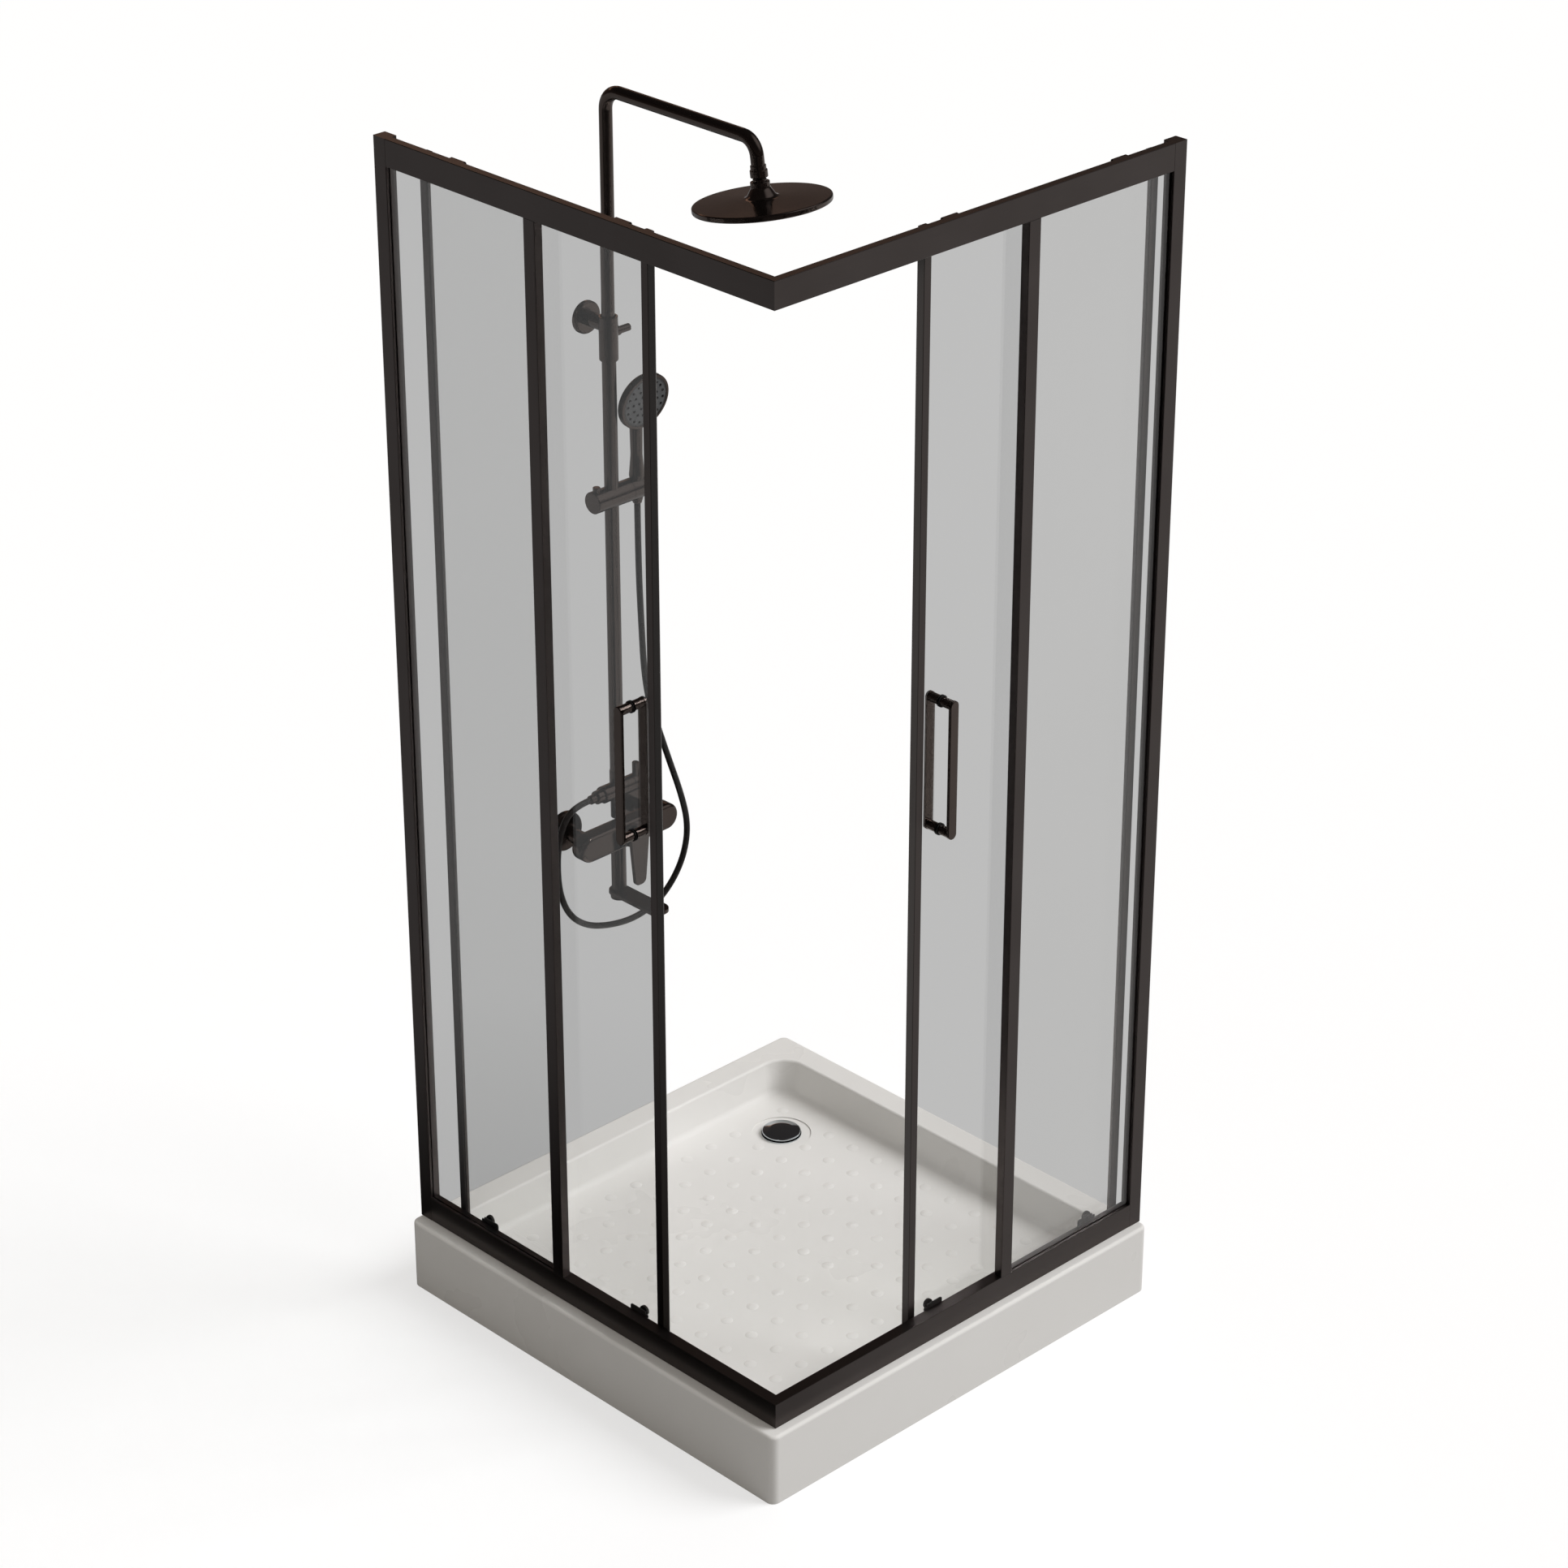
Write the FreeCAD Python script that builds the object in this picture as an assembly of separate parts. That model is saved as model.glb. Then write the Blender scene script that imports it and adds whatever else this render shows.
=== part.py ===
import FreeCAD, Part
import math
import os

# Corner shower enclosure, in millimetres: a square tray on the floor, two framed glass screens that meet at
# the outer corner, each with a fixed pane and a sliding door, and a shower column on the left-hand wall.
# The walls stand at the lowest X and the highest Y of the tray.
# Z is up and the origin is under the tray's middle.
# Each screen is drawn in its own frame: u runs from the outer corner to the wall, w inward and z up.

Vec = FreeCAD.Vector
ORIGIN = Vec(0, 0, 0)
ALONG_X = Vec(1, 0, 0)
ALONG_Y = Vec(0, 1, 0)
UP = Vec(0, 0, 1)
FULL_TURN = 360

# Clearances
overrun = 5.0
slip = 0.05
running_gap = 0.3
seat_gap = 0.1
same_place = 0.001

# Tray
tray_side = 900.0
tray_height = 131.0
tray_corner_radius = 14.0
tray_edge_radius = 6.0
tray_wall = 8.0
rim_width = 50.0
basin_depth = 60.0
basin_corner_radius = 48.0
basin_lean = 14.0
basin_floor_radius = 13.0
basin_edge_radius = 5.0
floor_thickness = 10.0
rib_depth = 16.0
rib_thickness = 6.0
rib_pitch = 185.0
rib_steps = (-2, -1, 0, 1, 2)
foot_boss_radius = 17.0
foot_pad_radius = 26.0
foot_pad_height = 6.0
foot_stud_radius = 6.0
foot_nut_radius = 10.0
foot_nut_height = 8.0

# Waste
drain_x = -277.0
drain_y = 275.0
drain_recess_radius = 54.0
drain_recess_depth = 2.0
drain_hole_radius = 30.0
flange_radius = 36.3
flange_thickness = 2.0
flange_bore_radius = 25.0
flange_neck_length = 26.0
spider_height = 3.0
spider_width = 5.0
spider_drop = 9.0
spider_hub_radius = 7.0
cap_radius = 35.0
cap_gap = 3.0
cap_thickness = 2.6
cap_rise = 2.4
cap_stem_radius = 5.0
cap_shoulder_share = 0.6
cap_shoulder_rise_share = 0.8
trap_radius = 52.0
trap_wall = 3.0
trap_floor_lift = 3.0
trap_neck_radius = 38.0
outlet_lift = 25.0
outlet_bore_radius = 16.5
outlet_neck_radius = 18.5
outlet_neck_length = 50.0
outlet_spigot_radius = 20.0
outlet_spigot_length = 40.0

# Frame of the screens
front_setback = 23.8
side_setback = 18.3
rail_top = 2083.5
top_rail_height = 44.6
top_rail_depth = 15.0
bottom_rail_height = 45.0
bottom_rail_depth = 22.0
frame_wall = 1.8
frame_edge_radius = 1.0
post_width = 28.0
post_depth = 24.0
post_web = 12.0
channel_leg = 15.0
channel_wall = 2.0
channel_hole_radius = 2.75
channel_hole_inset = 125.25
cap_plate = 2.0
cap_plug = 8.0
stile_width = 25.0
stile_depth = 16.0
glass_thickness = 6.0
fixed_glass_setback = 5.0
glass_seat = 10.0
corner_block_leg = 62.0
guide_groove_depth = 4.0
guide_groove_height = 6.0
guide_groove_lift = 19.0

# Track and wheels
track_lift = 12.8
track_thickness = 2.5
track_reach = 6.0
crown_width = 2.8
crown_height = 2.5
wheel_radius = 12.0
wheel_rolling_radius = 10.0
wheel_width = 5.8
wheel_groove_width = 3.4
wheel_groove_lean = 0.5
wheel_from_rail = 3.8
axle_radius = 3.0

# Doors
door_width = 508.0
door_glass_setback = 24.0
door_stile_width = 14.0
door_stile_depth = 13.0
door_stile_front = 23.0
door_stile_radius = 1.5
door_front_edge_radius = 0.5
door_above_tray = 19.0
door_below_rail_top = 9.0
trailing_stile_drop = 2.0
door_glass_inset = 2.0
door_glass_drop = 24.5
closed_lead = 38.0
front_stile_from_corner = 511.2
side_stile_from_corner = 525.8
front_door_from_corner = 288.8
side_door_from_corner = 326.6
magnet_gap = 0.15
magnet_inset = 0.5

# Roller carriages, hung on the panes
plate_thickness = 1.6
plate_gap = 0.2
plate_length = 75.0
plate_below_rail = 9.0
plate_below_glass_top = 20.0
plate_corner_radius = 5.0
wheel_from_lead = 50.0
wheel_spacing = 369.0
hood_width = 36.0
hood_above_wheel = 2.5
hood_thickness = 1.5
clamp_from_wheel = 39.0
clamp_below_top = 12.0
clamp_radius = 11.0
clamp_height = 6.0
knob_edge_radius = 1.4
clamp_bolt_radius = 4.0
clamp_hole_radius = 5.5

# Lower guides
guide_width = 36.0
guide_from_lead = 43.0
guide_from_trail = 62.0
guide_rise = 35.0
guide_drop = 7.0
guide_corner_radius = 4.0
guide_lug_width = 6.0
guide_lug_drop = 5.0
guide_lug_radius = 1.0
guide_screw_radius = 4.0
guide_screw_height = 0.8
guide_screw_drop = 4.7
guide_screw_inset = 9.0
guide_knob_radius = 9.0
guide_knob_height = 5.0

# Handles
handle_from_lead = 56.0
handle_bottom = 1059.5
handle_height = 240.0
handle_width = 17.5
handle_thickness = 5.5
handle_edge_radius = 1.5
handle_post_radius = 8.0
handle_post_length = 21.5
handle_bolt_radius = 4.0
handle_hole_radius = 5.5

# Shower column
column_from_wall = 57.0
riser_radius = 12.0
riser_bore_radius = 11.1
riser_rise = 19.0
riser_below_bracket = 24.0
arm_radius = 11.0
arm_bore_radius = 9.0
arm_below_bracket = 174.0
arm_seal_height = 22.0
arm_height = 2073.0
arm_bend_radius = 33.0
arm_head_bend_radius = 30.0
arm_reach = 342.0
arm_end_lean = 9.0
arm_end_drop = 44.0
sleeve_radius = 16.0
sleeve_below_bracket = 60.0
sleeve_above_bracket = 17.0
sleeve_edge_radius = 3.0
sleeve_mouth_edge_radius = 1.0
sleeve_mouth_radius = 13.0
sleeve_mouth_depth = 4.0
bracket_height = 1674.0
bracket_stem_radius = 12.5
bracket_flange_radius = 28.0
bracket_flange_thickness = 8.0
bracket_flange_edge = 3.0
lock_below_bracket = 14.0
lock_boss_radius = 8.0
lock_boss_reach = 22.0
lock_knob_radius = 6.3
lock_knob_length = 23.0
lock_knob_edge = 1.2
lock_screw_radius = 3.0
lock_slot_width = 1.6
lock_slot_depth = 1.8

# Rain head and its ball joint, measured down the arm's end axis
nut_radius = 14.0
nut_length = 19.0
nut_ring_radius = 12.5
nut_ring_length = 7.0
nut_edge_radius = 1.2
nut_ring_edge_radius = 0.6
nut_grip = 4.0
ball_radius = 8.5
ball_gap = 0.1
ball_depth = 6.0
ball_neck_radius = 5.0
nut_mouth_radius = 7.0
collar_radius = 11.0
collar_gap = 2.2
collar_length = 4.0
hub_radius = 15.5
hub_length = 10.0
hub_bend_radius = 8.0
hub_foot_radius = 24.5
hub_foot_length = 14.7
hub_foot_bend_radius = 10.0
head_radius = 110.0
head_rim = 9.5
head_dome = 5.0
head_edge_radius = 2.6

# Slider, cradle and handset
slider_below_bracket = 301.0
slider_radius = 19.0
slider_left = 43.0
slider_right = 37.0
slider_edge_radius = 1.5
slider_joint_edge_radius = 0.4
pivot_radius = 7.0
pivot_length = 6.0
button_offset = 33.0
button_radius = 6.35
button_stand = 7.0
button_depth = 12.0
button_edge_radius = 1.0
button_travel = 3.0
cradle_gap = 0.4
cradle_length = 40.0
handset_offset = 57.0
cradle_top_radius = 12.6
cradle_bottom_radius = 10.2
cradle_slot_width = 13.0
nut_cone_gap = 0.15
hose_nut_drop = 28.0
hose_nut_radius = 7.6
handle_foot_radius = 13.2
handle_foot_height = 5.0
handset_grip_radius = 11.0
handset_waist_radius = 10.2
handset_waist_height = 40.0
handset_grip_rise = 105.0
handset_bend_radius = 40.0
handset_neck_rise = 151.0
handset_neck_radius = 8.0
handset_neck_end_radius = 6.0
face_rise = 157.5
face_forward = 23.0
face_dip = 11.0
face_radius = 45.0
face_thickness = 2.5
face_inset = 0.8
shell_radius = 50.0
shell_edge = 12.0
shell_edge_radius = 6.0
shell_rim_radius = 1.6
shell_back_radius = 30.0
shell_bend_radius = 14.0
shell_depth = 24.0
nozzle_radius = 1.3
nozzle_height = 1.2
nozzle_ring_pitch = 12.3
nozzle_counts = (1, 6, 12, 18)

# Diverter
diverter_rise = 76.0
diverter_radius = 15.0
diverter_left = 36.0
diverter_right = 31.0
diverter_edge_radius = 1.5
diverter_joint_edge_radius = 0.5
diverter_collar_radius = 13.0
diverter_collar_rise = 37.0
diverter_knob_gap = 0.6
diverter_knob_length = 30.0
diverter_pin_radius = 6.0
diverter_pin_inset = 11.0
diverter_pin_rise = 37.0
diverter_spindle_radius = 4.0
diverter_spindle_depth = 10.0
outlet_nut_radius = 11.8
outlet_nut_length = 14.0
ferrule_radius = 7.8
ferrule_length = 13.0

# Mixer
mixer_height = 753.0
mixer_length = 219.0
mixer_tall = 48.0
mixer_thick = 32.0
mixer_forward = 16.0
mixer_edge_radius = 7.0
union_spacing = 150.0
union_rise = 2.0
union_radius = 13.5
rose_radius = 36.0
rose_thickness = 10.0
rose_edge_radius = 4.0
union_bore_radius = 9.6
union_bore_depth = 16.0
drop_tube_radius = 13.0
drop_tube_drop = 90.0
hub_ring_radius = 21.0
hub_ring_thickness = 7.0
hub_ring_edge = 2.0
lever_neck_radius = 8.0
lever_neck_start = 5.0
lever_neck_end = 19.0
lever_slot_rise = 9.2
lever_thickness = 6.0
lever_top_radius = 21.0
lever_drop = 88.5
lever_tip_half_width = 12.2
lever_tip_radius = 10.5
lever_edge_radius = 1.6

# Spout
spout_gap = 28.0
spout_plate_thickness = 7.0
spout_body_thickness = 5.0
spout_half_width = 18.0
spout_reach = 114.0
spout_inset = 6.0
spout_edge_radius = 1.6
spout_boss_radius = 15.0
spout_boss_height = 4.0
spout_mouth_length = 22.0
spout_mouth_width = 14.0
spout_mouth_depth = 2.5
spout_mouth_radius = 3.0
spout_mouth_from_tip = 6.0
spout_stem_gap = 0.2

# Shower hose: its thickness, the places of its loop (Y, and height above the diverter), and the places of the
# stretch that rises to the handset (Y, and the share of the way up from the diverter to the nut)
hose_radius = 5.5
hose_loop = (
    (-91.0, 0.0),
    (-118.0, -14.0),
    (-134.0, -47.0),
    (-140.0, -94.0),
    (-137.0, -151.0),
    (-117.0, -202.0),
    (-78.0, -238.0),
    (-24.0, -258.0),
    (34.0, -266.0),
    (86.0, -255.0),
    (126.0, -223.0),
    (151.5, -181.0),
    (160.5, -129.0),
    (146.5, -67.0),
)
hose_rise_across = (113.0, 80.5, 66.5, 62.0, 57.0)
hose_rise_shares = (0.05, 0.235, 0.375, 0.545, 0.777)
arc_share = 0.45

# Worked out from the sizes above
QUARTER_TURN = FULL_TURN / 4
half_side = tray_side / 2
corner = Vec(half_side - side_setback, front_setback - half_side, 0)
front_length = corner.x + half_side
side_length = half_side - corner.y
tray_floor = tray_height - basin_depth
floor_underside = tray_floor - floor_thickness
foot_height = floor_underside - rib_depth
top_rail_bottom = rail_top - top_rail_height
bottom_rail_top = tray_height + bottom_rail_height
door_bottom = tray_height + door_above_tray
door_top = rail_top - door_below_rail_top
door_glass_top = door_top - door_glass_drop
plate_low = door_glass_top - plate_below_glass_top
guide_top = door_bottom + guide_rise
guide_bottom = door_bottom - guide_drop
track_top = top_rail_bottom + track_lift + track_thickness + crown_height
wheel_height = track_top + wheel_rolling_radius + slip
wheel_middle = top_rail_depth + wheel_from_rail
plate_back = door_glass_setback - plate_gap
plate_front = plate_back - plate_thickness
door_glass_back = door_glass_setback + glass_thickness
column = Vec(column_from_wall - half_side, 0, 0)
mixer_middle = column.x + mixer_forward
mixer_front = mixer_middle + mixer_thick / 2
union_height = mixer_height + union_rise
drop_tube_bottom = mixer_height - drop_tube_drop
spout_top = drop_tube_bottom - spout_gap
diverter_height = mixer_height + diverter_rise
riser_bottom = diverter_height + riser_rise
riser_top = bracket_height - riser_below_bracket
arm_bottom = bracket_height - arm_below_bracket
sleeve_bottom = bracket_height - sleeve_below_bracket
sleeve_top = bracket_height + sleeve_above_bracket
lock_height = bracket_height - lock_below_bracket
slider_height = bracket_height - slider_below_bracket


def rounded_outline(corners, radii):
    """Closed wire through the corners, with a tangent arc wherever a corner has a radius."""
    if not isinstance(radii, (list, tuple)):
        radii = [radii] * len(corners)
    bends = []
    for index, point in enumerate(corners):
        back = corners[index - 1] - point
        ahead = corners[(index + 1) % len(corners)] - point
        back.normalize()
        ahead.normalize()
        if radii[index] == 0:
            bends.append((point, None, point))
            continue
        half = back.getAngle(ahead) / 2
        middle = back + ahead
        middle.normalize()
        reach = radii[index] / math.tan(half)
        depth = radii[index] / math.sin(half) - radii[index]
        bends.append((point + back * reach, point + middle * depth, point + ahead * reach))
    edges = []
    for index, (start, middle, end) in enumerate(bends):
        if middle is not None:
            edges.append(Part.Arc(start, middle, end).toShape())
        following = bends[(index + 1) % len(bends)][0]
        if not end.isEqual(following, same_place):
            edges.append(Part.LineSegment(end, following).toShape())
    return Part.Wire(edges)


def prism(corners, radii, reach):
    """The rounded outline through the corners, pushed along the reach."""
    return Part.Face(rounded_outline(corners, radii)).extrude(reach)


def flat(pairs, level=0):
    """Pairs of numbers as points on the level plane at that height."""
    return [Vec(a, b, level) for a, b in pairs]


def upright(pairs, along=0):
    """Pairs of width and height as points on the plane across X at that distance."""
    return [Vec(along, a, b) for a, b in pairs]


def block(low, high):
    """Box between two opposite corners."""
    size = high - low
    return Part.makeBox(size.x, size.y, size.z, low)


def rod(radius, start, end):
    """Round bar between two points."""
    return Part.makeCylinder(radius, (end - start).Length, start, end - start)


def turned(pairs, radii, base, axis):
    """Solid turned about the axis from the base; the pairs are radius and distance along the axis."""
    outline = rounded_outline([Vec(a, 0, b) for a, b in pairs], radii)
    solid = Part.Face(outline).revolve(ORIGIN, UP, FULL_TURN)
    solid.Placement = FreeCAD.Placement(base, FreeCAD.Rotation(UP, axis))
    return solid


def joined(pieces):
    """One solid of several that touch or overlap, without seams between flush faces."""
    return pieces[0].multiFuse(pieces[1:]).removeSplitter()


def softened(solid, radius, chosen):
    """The solid with the chosen edges rounded."""
    return solid.makeFillet(radius, [edge for edge in solid.Edges if chosen(edge)])


def at_level(edge, level):
    """Whether an edge lies wholly at one height."""
    box = edge.BoundBox
    return abs(box.ZMin - level) < slip and abs(box.ZMax - level) < slip


def on_front(shape):
    """A piece from the screen's own frame, set on the front side."""
    set_down = shape.mirror(ORIGIN, ALONG_X)
    set_down.translate(corner)
    return set_down


def on_side(shape):
    """A piece from the screen's own frame, set on the right-hand side."""
    set_down = shape.copy()
    set_down.rotate(ORIGIN, UP, QUARTER_TURN)
    set_down.translate(corner)
    return set_down


def square(half_width, radius, level):
    """Rounded square outline about the tray's middle."""
    signs = ((-1, -1), (1, -1), (1, 1), (-1, 1))
    pairs = [(half_width * across, half_width * along) for across, along in signs]
    return rounded_outline(flat(pairs, level), radius)


def basin_form(growth, lower):
    """Tapered hollow of the basin, grown outward and deepened for its outer side."""
    top_half = half_side - rim_width + growth
    bottom_half = top_half - basin_lean
    top = square(top_half, basin_corner_radius + growth, tray_height)
    bottom = square(bottom_half, basin_corner_radius + growth - basin_lean / 2, tray_floor - lower)
    form = Part.makeLoft([top, bottom], True, True)
    return softened(form, basin_floor_radius, lambda edge: at_level(edge, tray_floor - lower))


def shower_tray():
    """Moulded tray: rim, leaning basin, skirt to the floor, and ribs and foot bosses underneath."""
    skirt = Part.Face(square(half_side, tray_corner_radius, 0)).extrude(UP * tray_height)
    skirt = softened(skirt, tray_edge_radius, lambda edge: at_level(edge, tray_height))
    inside = square(half_side - tray_wall, tray_corner_radius - tray_wall / 2, 0)
    hollow = Part.Face(inside).extrude(UP * (tray_height - tray_wall))
    hollow = hollow.cut(basin_form(tray_wall, floor_thickness))
    reach = half_side - tray_wall
    low = floor_underside - rib_depth
    for step in rib_steps:
        middle = step * rib_pitch
        half = rib_thickness / 2
        lengthwise = block(Vec(middle - half, -reach, low), Vec(middle + half, reach, floor_underside))
        crosswise = block(Vec(-reach, middle - half, low), Vec(reach, middle + half, floor_underside))
        hollow = hollow.cut(lengthwise).cut(crosswise)
    for place in foot_places():
        hollow = hollow.cut(rod(foot_boss_radius, place + UP * low, place + UP * floor_underside))
    tray = skirt.cut(basin_form(0, 0)).cut(hollow)
    tray = softened(tray, basin_edge_radius, is_basin_edge)
    drain = Vec(drain_x, drain_y, tray_floor)
    tray = tray.cut(rod(drain_recess_radius, drain - UP * drain_recess_depth, drain + UP * overrun))
    return tray.cut(rod(drain_hole_radius, drain - UP * (floor_thickness + overrun), drain))


def is_basin_edge(edge):
    """Whether an edge is on the inner line of the rim."""
    box = edge.BoundBox
    reach = max(abs(box.XMin), abs(box.XMax), abs(box.YMin), abs(box.YMax))
    return at_level(edge, tray_height) and reach < half_side - rim_width + slip


def foot_places():
    """Middles of the five feet, under crossings of the ribs."""
    far = rib_steps[-1] * rib_pitch
    return [Vec(-far, -far, 0), Vec(far, -far, 0), Vec(far, far, 0), Vec(-far, far, 0), Vec(0, 0, 0)]


def tray_feet():
    """Five screw feet: pad, stud and lock nut, each up to its boss."""
    feet = []
    for place in foot_places():
        nut_top = foot_height - slip
        pairs = [
            (0, 0),
            (foot_pad_radius, 0),
            (foot_pad_radius, foot_pad_height / 2),
            (foot_stud_radius, foot_pad_height),
            (foot_stud_radius, nut_top - foot_nut_height),
            (foot_nut_radius, nut_top - foot_nut_height),
            (foot_nut_radius, nut_top),
            (0, nut_top),
        ]
        feet.append(turned(pairs, 0, place, UP))
    return Part.makeCompound(feet)


def waste_flange():
    """Screwed flange in the tray's recess, with the spider that carries the cover's stem."""
    top = tray_floor - drain_recess_depth + flange_thickness
    base = Vec(drain_x, drain_y, top)
    neck = drain_hole_radius - running_gap
    pairs = [
        (flange_bore_radius, 0),
        (flange_radius, 0),
        (flange_radius, -flange_thickness),
        (neck, -flange_thickness),
        (neck, -flange_thickness - flange_neck_length),
        (flange_bore_radius, -flange_thickness - flange_neck_length),
    ]
    ring = turned(pairs, 0, base, UP)
    spider_top = base - UP * spider_drop
    half = spider_width / 2
    reach = flange_bore_radius + slip
    spider = rod(spider_hub_radius, spider_top - UP * spider_height, spider_top)
    for bar in ((reach, half), (half, reach)):
        low = spider_top - Vec(bar[0], bar[1], spider_height)
        spider = spider.fuse(block(low, spider_top + Vec(bar[0], bar[1], 0)))
    return joined([ring, spider])


def drain_cover():
    """Domed cover plate on a stem that stands on the spider."""
    top = tray_floor - drain_recess_depth + flange_thickness
    base = Vec(drain_x, drain_y, top + cap_gap)
    pairs = [
        (0, -cap_gap - spider_drop),
        (cap_stem_radius, -cap_gap - spider_drop),
        (cap_stem_radius, 0),
        (cap_radius, 0),
        (cap_radius, cap_thickness),
        (cap_radius * cap_shoulder_share, cap_thickness + cap_rise * cap_shoulder_rise_share),
        (0, cap_thickness + cap_rise),
    ]
    return turned(pairs, [0, 0, 0, 0, cap_thickness / 2, cap_radius, 0], base, UP)


def waste_trap():
    """Low trap under the tray: a cup round the flange's neck, with the outlet and its spigot to one side."""
    drain = Vec(drain_x, drain_y, 0)
    top = floor_underside - slip
    pairs = [
        (0, trap_floor_lift),
        (trap_radius, trap_floor_lift),
        (trap_radius, top - trap_wall),
        (trap_neck_radius, top),
        (drain_hole_radius, top),
        (drain_hole_radius, top - trap_wall * 2),
        (trap_radius - trap_wall, top - trap_wall * 3),
        (trap_radius - trap_wall, trap_floor_lift + trap_wall),
        (0, trap_floor_lift + trap_wall),
    ]
    cup = turned(pairs, 0, drain, UP)
    axis = drain + UP * outlet_lift
    start = axis + ALONG_X * (trap_radius - trap_wall * 2)
    shoulder = axis + ALONG_X * (trap_radius + outlet_neck_length)
    end = shoulder + ALONG_X * outlet_spigot_length
    neck = rod(outlet_neck_radius, start, shoulder)
    spigot = rod(outlet_spigot_radius, shoulder, end)
    bore = rod(outlet_bore_radius, start - ALONG_X * overrun, end + ALONG_X * overrun)
    return joined([cup, neck, spigot]).cut(bore)


def mitre(length, depth, low, high):
    """Room that a rail may fill, cut at half a right angle at the outer corner."""
    return prism(flat([(0, 0), (length, 0), (length, depth), (depth, depth)], low), 0, UP * (high - low))


def pane_slot(start, end, low, high):
    """Groove for the fixed pane's edge."""
    front = fixed_glass_setback - seat_gap
    back = fixed_glass_setback + glass_thickness + seat_gap
    return block(Vec(start, front, low), Vec(end, back, high))


def top_rail(length, stile):
    """Box rail with the pane's slot below and the wheels' crowned track on its back."""
    run = length - post_width
    depth = top_rail_depth
    section = [(0, top_rail_bottom), (depth, top_rail_bottom), (depth, rail_top), (0, rail_top)]
    rail = prism(upright(section), frame_edge_radius, ALONG_X * run)
    low, high = top_chamber()
    room = [(frame_wall, low), (depth - frame_wall, low), (depth - frame_wall, high), (frame_wall, high)]
    shelf = top_rail_bottom + track_lift
    crown = wheel_middle - crown_width / 2
    track = [
        (depth - frame_wall / 2, shelf),
        (depth + track_reach, shelf),
        (depth + track_reach, shelf + track_thickness),
        (crown + crown_width, shelf + track_thickness),
        (crown + crown_width, track_top),
        (crown, track_top),
        (crown, shelf + track_thickness),
        (depth - frame_wall / 2, shelf + track_thickness),
    ]
    radii = [0, 0, 0, 0, crown_width / 4, crown_width / 4, 0, 0]
    rail = joined([rail, prism(upright(track), radii, ALONG_X * run)])
    rail = rail.cut(prism(upright(room, -overrun), 0, ALONG_X * (run + 2 * overrun)))
    rail = rail.common(mitre(run, post_depth, top_rail_bottom, rail_top))
    start = stile + stile_width - glass_seat
    slot = pane_slot(start - seat_gap, run + overrun, top_rail_bottom - overrun, top_rail_bottom + glass_seat)
    return rail.cut(slot)


def top_chamber():
    """Lowest and highest level of the room inside the top rail."""
    return top_rail_bottom + glass_seat + frame_wall, rail_top - frame_wall


def bottom_chamber():
    """Lowest and highest level of the room inside the bottom rail."""
    return tray_height + frame_wall, bottom_rail_top - glass_seat - frame_wall


def bottom_chamber_depth():
    """How far back the room inside the bottom rail goes."""
    return bottom_rail_depth - guide_groove_depth - frame_wall


def bottom_rail(length, stile):
    """Threshold rail on the tray's rim, with the pane's slot above and the guides' groove in its back."""
    run = length - post_width
    depth = bottom_rail_depth
    section = [(0, tray_height), (depth, tray_height), (depth, bottom_rail_top), (0, bottom_rail_top)]
    rail = prism(upright(section), frame_edge_radius, ALONG_X * run)
    low, high = bottom_chamber()
    back = bottom_chamber_depth()
    room = [(frame_wall, low), (back, low), (back, high), (frame_wall, high)]
    rail = rail.cut(prism(upright(room, -overrun), 0, ALONG_X * (run + 2 * overrun)))
    groove_low = tray_height + guide_groove_lift
    groove = block(
        Vec(-overrun, depth - guide_groove_depth, groove_low),
        Vec(run + overrun, depth + overrun, groove_low + guide_groove_height),
    )
    rail = rail.cut(groove).common(mitre(run, depth, tray_height, bottom_rail_top))
    start = stile + stile_width - glass_seat
    slot = pane_slot(start - seat_gap, run + overrun, bottom_rail_top - glass_seat, bottom_rail_top + overrun)
    return rail.cut(slot)


def post(length):
    """Wall post: it slides over the wall channel and holds the pane's edge in a slot."""
    near = length - post_width
    far = length - seat_gap
    outline = flat([(near, 0), (far, 0), (far, post_depth), (near, post_depth)], tray_height)
    height = rail_top - cap_plate - tray_height
    body = prism(outline, frame_edge_radius, UP * height)
    room = block(
        Vec(near + post_web, frame_wall, tray_height - overrun),
        Vec(far + overrun, post_depth - frame_wall, rail_top),
    )
    slot = pane_slot(near - overrun, near + glass_seat + seat_gap, tray_height - overrun, rail_top)
    low_plug = block(
        Vec(near, 0, tray_height),
        Vec(near + post_web, post_depth - frame_wall, bottom_rail_top - glass_seat),
    )
    high_plug = block(
        Vec(near, 0, top_rail_bottom + glass_seat),
        Vec(near + post_web, post_depth - frame_wall, rail_top - cap_plate),
    )
    return body.cut(room).cut(slot.cut(low_plug).cut(high_plug))


def post_cap(length):
    """Flat cap that plugs the top of a post."""
    near = length - post_width
    far = length - seat_gap
    low = rail_top - cap_plate
    outline = flat([(near, 0), (far, 0), (far, post_depth), (near, post_depth)], low)
    plate = prism(outline, frame_edge_radius, UP * cap_plate)
    leg = frame_wall + channel_wall + 2 * running_gap
    plug = block(
        Vec(near + post_web + running_gap, leg, low - cap_plug),
        Vec(far - channel_wall - running_gap, post_depth - leg, low),
    )
    return joined([plate, plug])


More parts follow.
